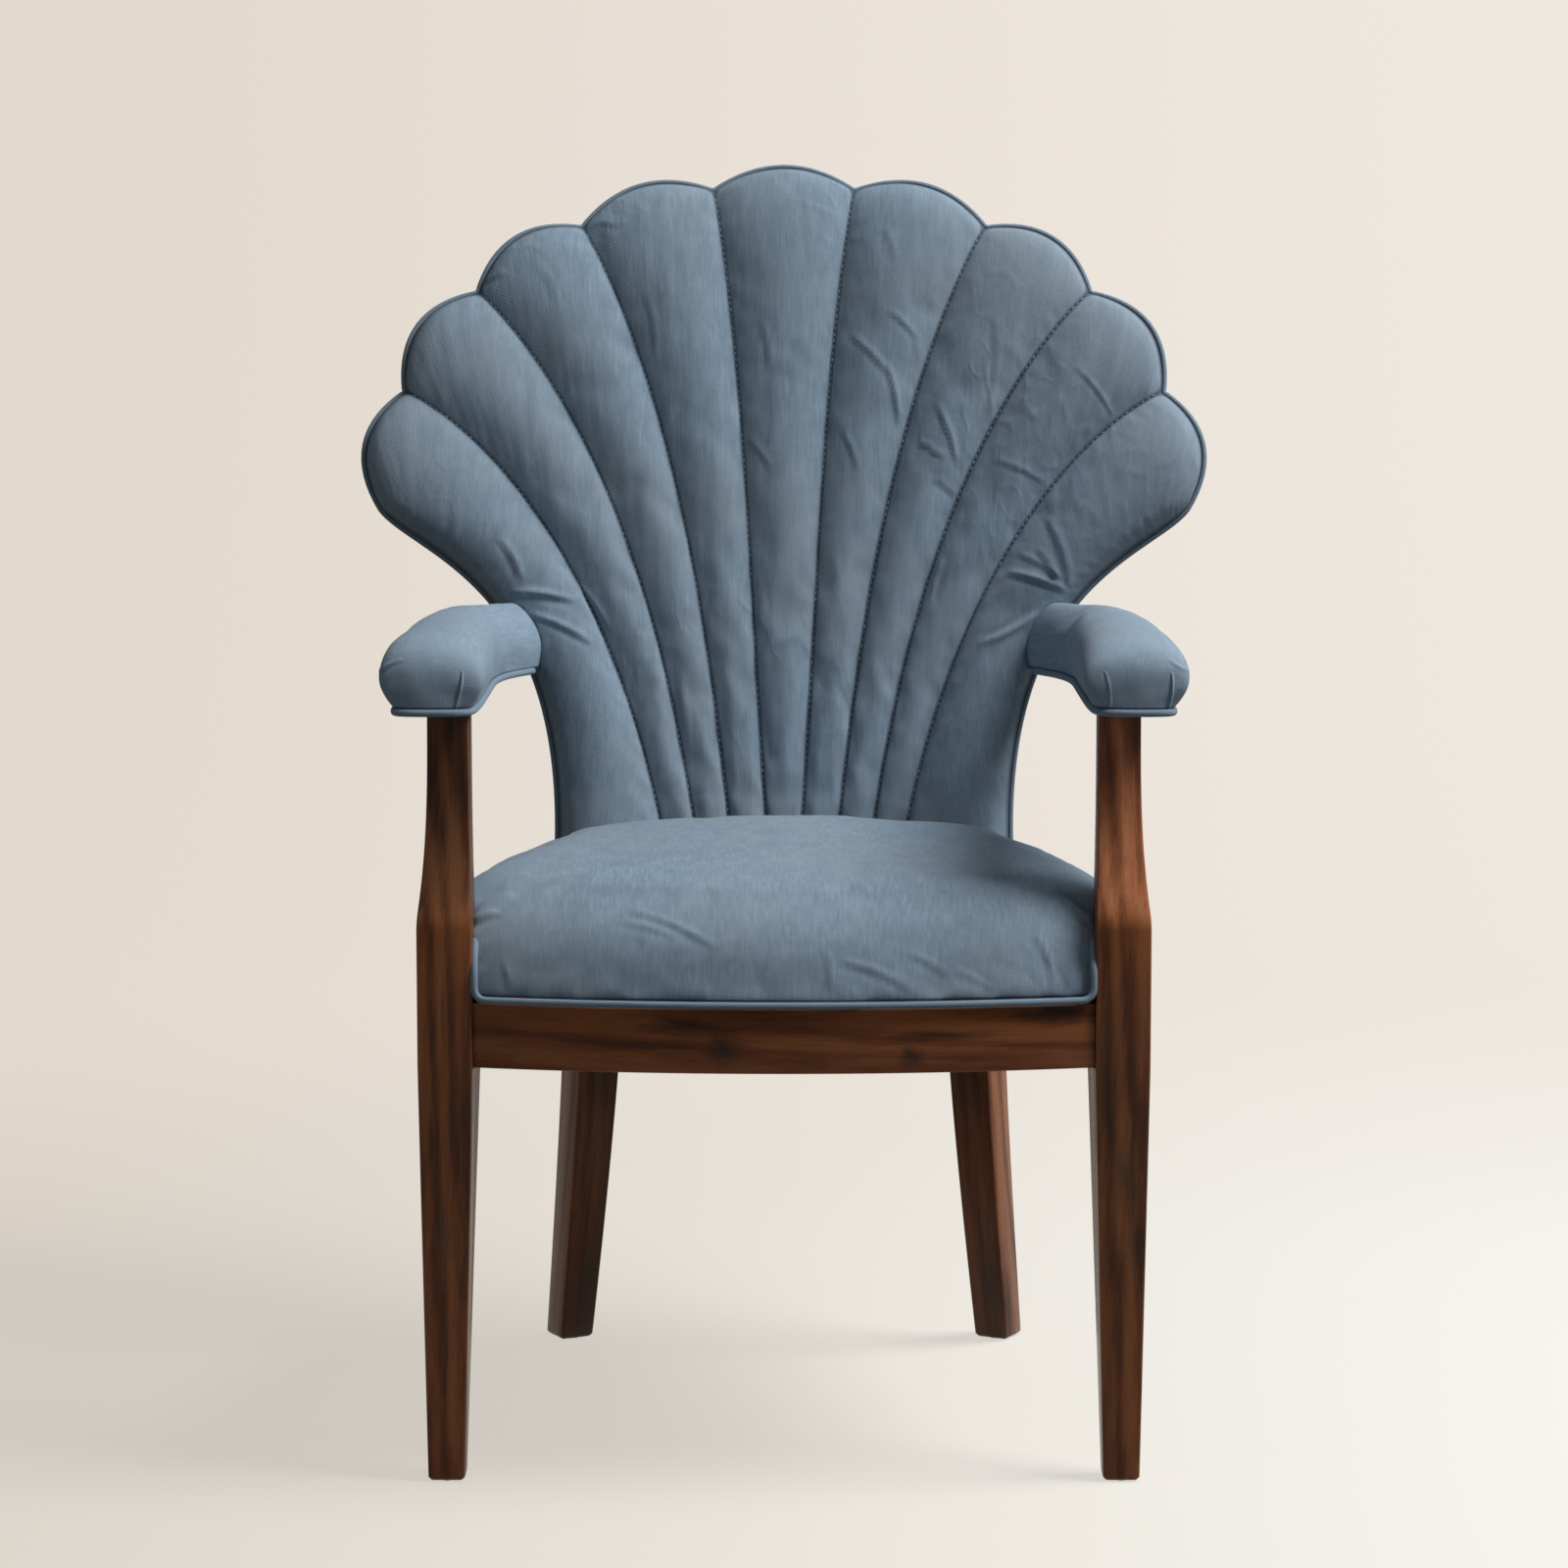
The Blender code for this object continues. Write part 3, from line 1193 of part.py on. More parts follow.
def make_arm_piping():
    z = ARM_BOTTOM - ARM_WELT_DROP
    out = COVER_GAP + WELT_RADIUS + ARM_WELT_GAP
    rings = arm_cage_rings(ARM_PAD_END + WELT_RADIUS)
    inner, outer = [], []
    for (x, y, turn), ring in zip(arm_stations() + [(*rings[-1][0][:2], ELBOW_TURN)], rings):
        away = Vector((math.cos(turn), math.sin(turn), 0)) * out
        inner.append(Vector(ring[0]) - away)
        outer.append(Vector(ring[-1]) + away)
    inner[-1] -= (inner[-1] - inner[-2]).normalized() * ARM_WELT_STOP
    nose = Vector((0, -out, 0))
    path = list(reversed(inner[1:])) + [inner[0] + nose, outer[0] + nose] + outer[1:]
    for name, side in SIDES:
        piping(f"arm_welt_{name}", [(side * p.x, p.y, z) for p in softened(path)])


# The whole chair, centred over the floor

def centre_on_floor():
    bpy.context.view_layer.update()
    depsgraph = bpy.context.evaluated_depsgraph_get()
    depths = []
    for part in PARTS.objects:
        if part.type == "EMPTY":
            continue
        shape = part.evaluated_get(depsgraph)
        mesh = shape.to_mesh()
        depths += [(shape.matrix_world @ vert.co).y for vert in mesh.vertices]
        shape.to_mesh_clear()
    CHAIR.location.y = -(min(depths) + max(depths)) / 2


def build():
    front_legs, front_spaces = make_front_legs()
    rear_legs, rear_spaces = make_rear_legs()
    make_glides(front_legs, rear_legs)
    rails = {"front": make_front_rail(front_legs), "rear": make_rear_rail(rear_spaces)}
    side_rails = make_side_rails(front_legs, rear_spaces)
    make_corner_blocks(rails, side_rails, front_spaces, rear_spaces)
    make_dust_cover(front_spaces, rear_spaces)
    make_webbing()
    make_seat()
    make_seat_piping()
    panel = make_back_panel()
    make_back_frame(panel, rear_spaces)
    board_spaces, tail_slots = make_arm_rails(rear_legs, rear_spaces, panel)
    arm_spaces = make_arm_pads(board_spaces, tail_slots)
    make_arm_piping()
    make_back_upholstery(arm_spaces, tail_slots)
    centre_on_floor()


build()
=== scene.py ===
import math
from contextlib import contextmanager

import bmesh
import bpy
import numpy as np
from mathutils import Matrix, Vector, noise
from mathutils.bvhtree import BVHTree


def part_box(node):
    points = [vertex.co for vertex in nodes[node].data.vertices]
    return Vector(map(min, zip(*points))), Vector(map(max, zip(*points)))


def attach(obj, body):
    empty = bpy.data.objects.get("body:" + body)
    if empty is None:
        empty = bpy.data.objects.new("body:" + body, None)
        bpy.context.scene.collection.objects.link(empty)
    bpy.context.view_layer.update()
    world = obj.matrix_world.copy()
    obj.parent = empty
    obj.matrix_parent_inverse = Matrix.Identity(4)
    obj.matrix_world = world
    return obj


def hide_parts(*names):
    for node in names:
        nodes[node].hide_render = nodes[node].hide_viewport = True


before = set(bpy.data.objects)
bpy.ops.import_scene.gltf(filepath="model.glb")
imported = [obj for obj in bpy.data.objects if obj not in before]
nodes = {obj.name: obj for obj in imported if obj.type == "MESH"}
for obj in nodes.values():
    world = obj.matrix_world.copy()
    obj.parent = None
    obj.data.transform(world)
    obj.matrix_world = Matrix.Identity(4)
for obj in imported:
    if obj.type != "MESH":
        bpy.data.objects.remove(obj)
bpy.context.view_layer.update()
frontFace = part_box("front_leg_left")[0].y  # depths below are counted from the front legs' front faces
sides = (("left", -1), ("right", 1))
print("frame loaded with", len(nodes), "nodes")


# Small helpers for numbers

def between(first, second, share):
    return first + (second - first) * share


def ease(value, low, high):
    share = np.clip((value - low) / (high - low), 0.0, 1.0)
    return share * share * (3.0 - 2.0 * share)


def edgeRise(share, rounding):  # 0 at a padded edge and 1 well inside it
    return math.sqrt(max(0.0, 1.0 - (1.0 - share) ** rounding))


# Small helpers for meshes

def addObject(name, data):
    thing = bpy.data.objects.new(name, data)
    bpy.context.scene.collection.objects.link(thing)
    return thing


def meshPiece(name, points, faces, edges=()):
    mesh = bpy.data.meshes.new(name)
    mesh.from_pydata([tuple(point) for point in points], list(edges), faces)
    mesh.update()
    return addObject(name, mesh)


def gridFaces(columns, rows):  # columns and rows count the points
    corners = [j * columns + i for j in range(rows - 1) for i in range(columns - 1)]
    return [(a, a + 1, a + columns + 1, a + columns) for a in corners]


def readRows(source, label, width=3):
    values = np.empty(len(source) * width, np.float32)
    source.foreach_get(label, values)
    return values.reshape(-1, width)


def getPlaces(mesh):
    return readRows(mesh.vertices, "co").astype(float)


def setPlaces(mesh, places):
    mesh.vertices.foreach_set("co", np.asarray(places, np.float32).ravel())
    mesh.update()


def getNormals(mesh):
    return readRows(mesh.vertices, "normal").astype(float)


def storeVectors(mesh, name, values):
    attribute = mesh.attributes.new(name, "FLOAT_VECTOR", "POINT")
    attribute.data.foreach_set("vector", np.asarray(values, np.float32).ravel())


def storeValues(mesh, name, values):
    attribute = mesh.attributes.new(name, "FLOAT", "POINT")
    attribute.data.foreach_set("value", np.asarray(values, np.float32).ravel())


def bakeModifiers(piece):  # the modifiers' result becomes the piece's plain mesh
    depsgraph = bpy.context.evaluated_depsgraph_get()
    shape = piece.evaluated_get(depsgraph)
    mesh = bpy.data.meshes.new_from_object(shape, preserve_all_data_layers=True, depsgraph=depsgraph)
    old = piece.data
    piece.modifiers.clear()
    piece.data = mesh
    bpy.data.meshes.remove(old)
    mesh.name = piece.name


def subdivide(piece, levels):
    smooth = piece.modifiers.new("finer cloth", "SUBSURF")
    smooth.levels = levels
    smooth.render_levels = levels
    bakeModifiers(piece)


def giveThickness(piece, thickness):
    shell = piece.modifiers.new("cloth", "SOLIDIFY")
    shell.thickness = thickness
    shell.offset = -1.0
    bakeModifiers(piece)


@contextmanager
def editing(piece):
    bm = bmesh.new()
    bm.from_mesh(piece.data)
    yield bm
    bm.to_mesh(piece.data)
    bm.free()


def turnOutward(piece):
    with editing(piece) as bm:
        bmesh.ops.recalc_face_normals(bm, faces=bm.faces)


def loftRings(rings):  # rings of points as a closed tube with flat ends
    bm = bmesh.new()
    loops = [[bm.verts.new(point) for point in ring] for ring in rings]
    for lower, upper in zip(loops, loops[1:]):
        for i in range(len(lower)):
            j = (i + 1) % len(lower)
            bm.faces.new((lower[i], lower[j], upper[j], upper[i]))
    bm.faces.new(loops[0])
    bm.faces.new(loops[-1])
    bmesh.ops.recalc_face_normals(bm, faces=bm.faces)
    return bm, loops


def meshFrom(name, bm):
    mesh = bpy.data.meshes.new(name)
    bm.to_mesh(mesh)
    bm.free()
    return addObject(name, mesh)


def finishPiece(piece, material, replaced, sharpAngle=None):
    piece.data.transform(Matrix.Translation((0.0, frontFace, 0.0)))
    piece.data.materials.clear()
    piece.data.materials.append(material)
    piece.data.shade_smooth()
    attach(piece, "root")
    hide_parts(*replaced)
    if sharpAngle is not None:
        piece.data.set_sharp_from_angle(angle=math.radians(sharpAngle))


# Padding: a short cloth simulation, soft unevenness and drawn creases

clothQuality = 5
clothSlack = 0.004


def inflate(piece, settings, held):  # pressure under the cloth, with the held points fixed
    group = piece.vertex_groups.new(name="held")
    group.add([int(index) for index in held], 1.0, "REPLACE")
    cloth = piece.modifiers.new("padding", "CLOTH")
    physics = cloth.settings
    physics.quality = clothQuality
    physics.vertex_group_mass = group.name
    physics.use_pressure = True
    physics.uniform_pressure_force = settings["pressure"]
    physics.bending_stiffness = settings["bending"]
    physics.shrink_min = -clothSlack
    physics.effector_weights.gravity = 0.0
    cloth.collision_settings.use_collision = False
    cloth.point_cache.frame_start = 1
    cloth.point_cache.frame_end = settings["frames"]
    rest = getPlaces(piece.data)
    scene = bpy.context.scene
    for step in range(1, settings["frames"] + 1):
        scene.frame_set(step)
    shape = piece.evaluated_get(bpy.context.evaluated_depsgraph_get())
    travel = getPlaces(shape.data) - rest
    piece.modifiers.remove(cloth)
    piece.vertex_groups.remove(group)
    scene.frame_set(1)
    length = np.maximum(np.linalg.norm(travel, axis=1), 1e-9)
    allowed = settings["most"] * np.tanh(length / settings["most"])
    setPlaces(piece.data, rest + travel * (allowed / length)[:, None])
    print(f"{piece.name} inflated: {length.max() * 1000:.1f} mm, kept {allowed.max() * 1000:.1f} mm")


def addUnevenness(piece, layers, shift=0.0):
    # Each layer of soft noise has its size, its height, its stretch and its place in the noise.
    for size, height, stretch, start in layers:
        places = getPlaces(piece.data)
        spots = places / size * np.array(stretch) + (start + shift)
        lift = np.array([noise.noise(Vector(spot)) for spot in spots])
        setPlaces(piece.data, places + getNormals(piece.data) * (lift * height)[:, None])


foldShape = {
    "bow": 0.05,
    "grooveShift": 1.7,         # in widths of the fold
    "grooveWidth": 1.2,
    "grooveDepth": 0.5,
    "upShare": 0.3,             # folds lie on faces that look forward, and less on those that look up
    "facing": (0.05, 0.35),
}


def addCreases(piece, creases, strength=1.0, narrow=1.0):
    # Each crease is seen from the front: x and z of both ends, its width and its height.
    # It is a thin raised fold with a shallow groove under it, and it dies out at both ends.
    places = getPlaces(piece.data)
    normals = getNormals(piece.data)
    facing = ease(normals[:, 2] * foldShape["upShare"] - normals[:, 1], *foldShape["facing"])
    lift = np.zeros(len(places))
    for startX, startZ, endX, endZ, width, height in creases:
        run = np.array((endX - startX, endZ - startZ))
        length = np.linalg.norm(run)
        run = run / length
        width = width * narrow
        local = places[:, (0, 2)] - np.array((startX, startZ))
        along = (local @ run) / length
        inside = np.clip(4.0 * along * (1.0 - along), 0.0, 1.0)
        across = local @ np.array((-run[1], run[0])) - foldShape["bow"] * length * inside
        fold = np.exp(-(across / width) ** 2)
        below = across + foldShape["grooveShift"] * width
        groove = np.exp(-(below / (foldShape["grooveWidth"] * width)) ** 2)
        lift += strength * height * np.sqrt(inside) * (fold - foldShape["grooveDepth"] * groove)
    setPlaces(piece.data, places + normals * (lift * facing)[:, None])


# Building shader and geometry trees. A source is a pair of a node and one of its outputs.

def isSource(value):
    return isinstance(value, tuple) and isinstance(value[0], bpy.types.Node)


def feed(tree, target, inputs):  # a source is linked to its socket, and any other value is set on it
    for socket, value in inputs.items():
        if isSource(value):
            tree.links.new(value[0].outputs[value[1]], target.inputs[socket])
        else:
            target.inputs[socket].default_value = value


def addNode(tree, kind, inputs=None, **settings):
    node = tree.nodes.new(kind)
    for name, value in settings.items():
        setattr(node, name, value)
    feed(tree, node, inputs or {})
    return node


def newGroup(name, inputs, outputs):  # vectors and numbers in, numbers out
    group = bpy.data.node_groups.new(name, "ShaderNodeTree")
    for socket, value in inputs.items():
        kind = "NodeSocketFloat" if isinstance(value, float) else "NodeSocketVector"
        made = group.interface.new_socket(socket, in_out="INPUT", socket_type=kind)
        made.default_value = value
    for socket in outputs:
        group.interface.new_socket(socket, in_out="OUTPUT", socket_type="NodeSocketFloat")
    return group, addNode(group, "NodeGroupInput"), addNode(group, "NodeGroupOutput")


def placeGroup(tree, group, vector, values=None):
    return addNode(tree, "ShaderNodeGroup", {"Vector": vector, **(values or {})}, node_tree=group)


def readAttribute(tree, name, output):
    return (addNode(tree, "ShaderNodeAttribute", attribute_name=name), output)


def objectPlace(tree):
    return (addNode(tree, "ShaderNodeTexCoord"), "Object")


def splitAxes(tree, vector):
    return addNode(tree, "ShaderNodeSeparateXYZ", {0: vector})


def numberMath(tree, operation, *values):
    return (addNode(tree, "ShaderNodeMath", dict(enumerate(values)), operation=operation), 0)


def vectorMath(tree, operation, *values):
    return (addNode(tree, "ShaderNodeVectorMath", dict(enumerate(values)), operation=operation), 0)


def weighted(tree, *parts):  # the sum of sources, each with its weight
    total = 0.0
    for source, weight in parts:
        total = numberMath(tree, "MULTIPLY_ADD", source, weight, total)
    return total


def noiseAt(tree, vector, scale, detail=2.0, roughness=0.5):
    inputs = {"Vector": vector, "Scale": scale, "Detail": detail, "Roughness": roughness}
    return (addNode(tree, "ShaderNodeTexNoise", inputs), "Fac")


def remap(tree, value, low, high, toLow=0.0, toHigh=1.0):
    inputs = {"Value": value, "From Min": low, "From Max": high, "To Min": toLow, "To Max": toHigh}
    return (addNode(tree, "ShaderNodeMapRange", inputs, interpolation_type="SMOOTHSTEP"), "Result")


def mixColours(tree, share, first, second, blend="MIX"):
    first, second = [value if isSource(value) else (*value, 1.0) for value in (first, second)]
    inputs = {0: share, 6: first, 7: second}
    return (addNode(tree, "ShaderNodeMix", inputs, data_type="RGBA", blend_type=blend), 2)


def addBump(tree, height, shader, strength, distance):
    bump = addNode(tree, "ShaderNodeBump", {"Height": height, "Strength": strength, "Distance": distance})
    feed(tree, shader, {"Normal": (bump, "Normal")})


def newMaterial(name):
    material = bpy.data.materials.new(name)
    material.use_nodes = True
    tree = material.node_tree
    return material, tree, tree.nodes["Principled BSDF"]


# Shared effects

origin = (0.0, 0.0, 0.0)


def makeLinenWeave():
    # Plain weave with uneven threads. The vector is in metres on the cloth: across, then along.
    inputs = {"Vector": origin, "Threads per metre": 950.0}
    group, given, out = newGroup("linenWeave", inputs, ("Tone", "Height", "Mottle"))
    cloth = (given, "Vector")

    def streaks(across, along, detail, roughness):
        stretched = vectorMath(group, "MULTIPLY", cloth, (across, along, 1.0))
        return noiseAt(group, stretched, 1.0, detail, roughness)

    turn = numberMath(group, "MULTIPLY", (given, "Threads per metre"), math.pi)
    axes = splitAxes(group, cloth)
    turns = [numberMath(group, "MULTIPLY", (axes, axis), turn) for axis in (0, 1)]
    weave = numberMath(group, "MULTIPLY", *[numberMath(group, "SINE", angle) for angle in turns])
    warp = streaks(820.0, 44.0, 3.0, 0.6)
    weft = streaks(60.0, 900.0, 3.0, 0.6)
    slubs = streaks(300.0, 38.0, 3.0, 0.6)
    tone = weighted(group, (warp, 0.40), (weft, 0.22), (slubs, 0.38))
    height = weighted(group, (tone, 1.0), (weave, 0.22))
    feed(group, out, {"Tone": tone, "Height": height, "Mottle": streaks(52.0, 26.0, 4.0, 0.66)})
    return group


def makeLinenCrumple():
    # Short random creases in patches, which linen keeps from use. The vector is in metres.
    group, given, out = newGroup("linenCrumple", {"Vector": origin}, ("Height",))
    place = (given, "Vector")
    lean = vectorMath(group, "MULTIPLY", place, (1.0, 1.0, 0.62))
    height = 0.0
    for scale, width, most in ((26.0, 0.085, 1.0), (47.0, 0.095, 0.45)):
        folds = noiseAt(group, lean, scale, 1.0, 0.4)
        offLine = numberMath(group, "ABSOLUTE", numberMath(group, "SUBTRACT", folds, 0.5))
        height = numberMath(group, "ADD", height, remap(group, offLine, 0.0, width, most, 0.0))
    patches = remap(group, noiseAt(group, place, 8.0), 0.44, 0.68)
    feed(group, out, {"Height": numberMath(group, "MULTIPLY", height, patches)})
    return group


def makeWoodFigure():
    # Dark streaked timber. The vector is in metres along the piece, with the grain along its Z.
    inputs = {"Vector": origin, "Coarseness": 1.0}
    group, given, out = newGroup("woodFigure", inputs, ("Tone", "Pores", "Height"))
    coarse = addNode(group, "ShaderNodeCombineXYZ", {axis: (given, "Coarseness") for axis in "XYZ"})
    sized = vectorMath(group, "MULTIPLY", (given, "Vector"), (coarse, "Vector"))
    grain = vectorMath(group, "MULTIPLY", sized, (1.0, 1.0, 0.085))
    sway = (noiseAt(group, grain, 16.0)[0], "Color")
    bend = vectorMath(group, "MULTIPLY_ADD", sway, (0.034, 0.034, 0.0), grain)
    figure = noiseAt(group, bend, 62.0, 4.0, 0.6)
    streaks = noiseAt(group, bend, 330.0, 3.0, 0.6)
    rings = addNode(group, "ShaderNodeTexWave", {
        "Vector": bend, "Scale": 26.0, "Distortion": 5.0, "Detail": 2.5, "Detail Scale": 1.4,
    }, wave_type="BANDS", bands_direction="DIAGONAL")
    tone = weighted(group, (figure, 0.56), (streaks, 0.26), ((rings, "Fac"), 0.18))
    pores = noiseAt(group, vectorMath(group, "MULTIPLY", sized, (1500.0, 1500.0, 30.0)), 1.0, 1.0)
    poreMask = remap(group, pores, 0.62, 0.74)
    height = weighted(group, (tone, 1.0), (poreMask, -0.5))
    feed(group, out, {"Tone": tone, "Pores": poreMask, "Height": height})
    return group


def makeWoodKnot():
    # A dark knot or stain at a place in the grain's own coordinates.
    inputs = {"Vector": origin, "Place": origin, "Reach": (60.0, 60.0, 20.0)}
    group, given, out = newGroup("woodKnot", inputs, ("Mask",))
    away = vectorMath(group, "SUBTRACT", (given, "Vector"), (given, "Place"))
    shaped = vectorMath(group, "MULTIPLY", away, (given, "Reach"))
    far = (vectorMath(group, "LENGTH", shaped)[0], "Value")
    ragged = weighted(group, (far, 1.0), (noiseAt(group, shaped, 1.6, 3.0, 0.6), 1.1))
    feed(group, out, {"Mask": remap(group, ragged, 0.55, 1.75, 1.0, 0.0)})
    return group


linenWeave = makeLinenWeave()
linenCrumple = makeLinenCrumple()
woodFigure = makeWoodFigure()
woodKnot = makeWoodKnot()


# Finishes

linen = {
    "light": (0.262, 0.345, 0.428),
    "body": (0.192, 0.262, 0.332),
    "dark": (0.118, 0.168, 0.222),
    # painted shade: the tone that the seams and the edges along the piping are darkened to
    "seam": (0.030, 0.048, 0.072),
    "grey": (0.225, 0.268, 0.305),
    "threadTones": (0.36, 0.64),    # where in the weave's noise a thread is darkest and lightest
    "evenness": 0.52,           # how far the threads' tones are drawn to the body's
    "patches": (7.0, 3.0, 0.55),
    "patchEdge": (0.38, 0.72),
    "greying": 0.55,
    "mottleEdge": (0.32, 0.62),
    "mottling": 0.30,
    "paintedSeamShadeReach": 0.13,
    "paintedSeamShade": 0.88,
    "roughness": (0.84, 0.96),
    "sheen": 0.10,
    "sheenRoughness": 0.45,
    "sheenTint": (0.72, 0.82, 0.92, 1.0),
    "specular": 0.25,
    "bump": (0.42, 0.0009),     # strength and depth
    "crumple": 0.40,            # height of the creases, against the threads
    "fanCrumple": 1.25,
    "pipingPaintedShade": 0.35,        # painted shade: the piping's tone is drawn deeper
    "armPaintedLight": 0.22,       # painted light: the arms' tone is drawn lighter, as if more brightly lit
}


def makeLinen(name, paintedSeamShade, crumpling, paintedToning=0.0, tone="dark"):
    material, tree, shader = newMaterial(name)
    weave = placeGroup(tree, linenWeave, readAttribute(tree, "cloth", "Vector"))
    mottle = (weave, "Mottle")
    place = objectPlace(tree)
    threads = remap(tree, (weave, "Tone"), *linen["threadTones"])
    colour = mixColours(tree, threads, linen["dark"], linen["light"])
    colour = mixColours(tree, linen["evenness"], colour, linen["body"])
    patches = noiseAt(tree, place, *linen["patches"])
    grey = remap(tree, patches, *linen["patchEdge"], 0.0, linen["greying"])
    colour = mixColours(tree, grey, colour, linen["grey"])
    shade = remap(tree, mottle, *linen["mottleEdge"], linen["mottling"], 0.0)
    colour = mixColours(tree, shade, colour, linen["dark"])
    # painted light and shade: the arms' cloth is drawn towards the light tone, the piping's towards the
    # dark tone
    if paintedToning > 0.0:
        colour = mixColours(tree, paintedToning, colour, linen[tone])
    # painted shade: the cloth darkens at the seams and along the piping, where shade falls
    if paintedSeamShade:
        crown = readAttribute(tree, "crown", "Fac")
        shade = remap(tree, crown, 0.0, linen["paintedSeamShadeReach"], linen["paintedSeamShade"], 0.0)
        colour = mixColours(tree, shade, colour, linen["seam"])
    feed(tree, shader, {
        "Base Color": colour,
        "Roughness": remap(tree, mottle, 0.3, 0.7, *linen["roughness"]),
        "Sheen Weight": linen["sheen"],
        "Sheen Roughness": linen["sheenRoughness"],
        "Sheen Tint": linen["sheenTint"],
        "Specular IOR Level": linen["specular"],
    })
    height = (weave, "Height")
    if crumpling > 0.0:
        crumple = placeGroup(tree, linenCrumple, place)
        height = weighted(tree, (height, 1.0), ((crumple, "Height"), crumpling))
    addBump(tree, height, shader, *linen["bump"])
    return material


walnut = {
    "stops": (
        (0.33, (0.026, 0.0086, 0.0034)),
        (0.44, (0.076, 0.0215, 0.0070)),
        (0.54, (0.142, 0.0410, 0.0122)),
        (0.68, (0.232, 0.0760, 0.0245)),
    ),
    "knot": (0.0085, 0.0038, 0.0022),
    # wear and a painted highlight: the rounded edges are drawn in this light tone
    "wornAndHighlit": (0.330, 0.1400, 0.0600),
    "poreDepth": 0.55,
    "knotDepth": 0.85,
    "postPaintedLightChange": (0.012, 0.022),   # the posts' painted light and shade start and end this far below and above the crease
    "rubbingAndHighlight": (0.35, 0.6, 0.12, 0.5),  # from and to these tones, the strengths of the worn edges and their painted highlight
    "roughness": (0.40, 0.24),          # of dark and of pale tones
    "specular": 0.13,
    "coat": 0.06,
    "coatRoughness": 0.24,
    "bump": (0.22, 0.0007),             # strength and depth
}


def makeWalnut(name, knots, coarseness, lift, postPaintedLightAndShade=None):
    material, tree, shader = newMaterial(name)
    grain = readAttribute(tree, "grain", "Vector")
    figure = placeGroup(tree, woodFigure, grain, {"Coarseness": coarseness})
    tone = (figure, "Tone")
    ramp = addNode(tree, "ShaderNodeValToRGB", {"Fac": tone})
    stops = ramp.color_ramp.elements
    while len(stops) < len(walnut["stops"]):
        stops.new(1.0)
    for stop, (position, colour) in zip(stops, walnut["stops"]):
        stop.position = position - lift
        stop.color = (*colour, 1.0)
    pores = numberMath(tree, "MULTIPLY", (figure, "Pores"), walnut["poreDepth"])
    colour = mixColours(tree, pores, (ramp, "Color"), walnut["knot"])
    for place, reach in knots:
        knot = placeGroup(tree, woodKnot, grain, {"Place": place, "Reach": reach})
        dark = numberMath(tree, "MULTIPLY", (knot, "Mask"), walnut["knotDepth"])
        colour = mixColours(tree, dark, colour, walnut["knot"])
    if postPaintedLightAndShade is not None:  # painted light and shade: the leaning post is drawn lighter on the lit right leg and darker on the shaded left leg
        below, above = walnut["postPaintedLightChange"]
        height = (splitAxes(tree, grain), 2)
        post = remap(tree, height, chair["creaseHeight"] - below, chair["creaseHeight"] + above)
        colour = mixColours(tree, post, colour, mixColours(tree, 1.0, colour, postPaintedLightAndShade, "MULTIPLY"))
    # wear and a painted highlight on the rounded edges
    rubAndHighlight = remap(tree, tone, *walnut["rubbingAndHighlight"])
    rubAndHighlight = numberMath(tree, "MULTIPLY", readAttribute(tree, "wornAndHighlit", "Fac"), rubAndHighlight)
    feed(tree, shader, {
        "Base Color": mixColours(tree, rubAndHighlight, colour, walnut["wornAndHighlit"]),
        "Roughness": remap(tree, tone, 0.3, 0.7, *walnut["roughness"]),
        "Specular IOR Level": walnut["specular"],
        "Coat Weight": walnut["coat"],
        "Coat Roughness": walnut["coatRoughness"],
    })
    addBump(tree, (figure, "Height"), shader, *walnut["bump"])
    return material


def makePlainWood(name, pale, dark, coarseness):  # with the grain along X
    material, tree, shader = newMaterial(name)
    inputs = {"Vector": objectPlace(tree), "Rotation": (0.0, math.pi / 2, 0.0)}
    turned = addNode(tree, "ShaderNodeMapping", inputs)
    figure = placeGroup(tree, woodFigure, (turned, "Vector"), {"Coarseness": coarseness})
    tone = (figure, "Tone")
    colour = mixColours(tree, remap(tree, tone, 0.35, 0.62), dark, pale)
    pores = numberMath(tree, "MULTIPLY", (figure, "Pores"), 0.35)
    feed(tree, shader, {
        "Base Color": mixColours(tree, pores, colour, dark),
        "Roughness": remap(tree, tone, 0.3, 0.7, 0.72, 0.6),
    })
    addBump(tree, (figure, "Height"), shader, 0.2, 0.0006)
    return material


def makeZinc():
    material, tree, shader = newMaterial("zincPlate")
    spangle = noiseAt(tree, objectPlace(tree), 620.0, 3.0)
    feed(tree, shader, {
        "Base Color": mixColours(tree, spangle, (0.46, 0.46, 0.45), (0.70, 0.70, 0.68)),
        "Roughness": remap(tree, spangle, 0.3, 0.7, 0.28, 0.46),
        "Metallic": 1.0,
    })
    addBump(tree, spangle, shader, 0.15, 0.0003)
    return material


def makeSpeckled(name, first, second, scale, roughness):
    material, tree, shader = newMaterial(name)
    speckle = noiseAt(tree, objectPlace(tree), scale, 3.0, 0.6)
    feed(tree, shader, {
        "Base Color": mixColours(tree, remap(tree, speckle, 0.35, 0.65), first, second),
        "Roughness": remap(tree, speckle, 0.3, 0.7, roughness + 0.05, roughness - 0.05),
    })
    addBump(tree, speckle, shader, 0.25, 0.0005)
    return material


blueLinen = makeLinen("dustyBlueLinen", True, linen["crumple"])
fanLinen = makeLinen("fanLinen", True, linen["fanCrumple"])
# painted light: a lighter copy of the linen for the arms
armLinenPaintedLight = makeLinen("armLinenPaintedLight", True, linen["crumple"], linen["armPaintedLight"], "light")
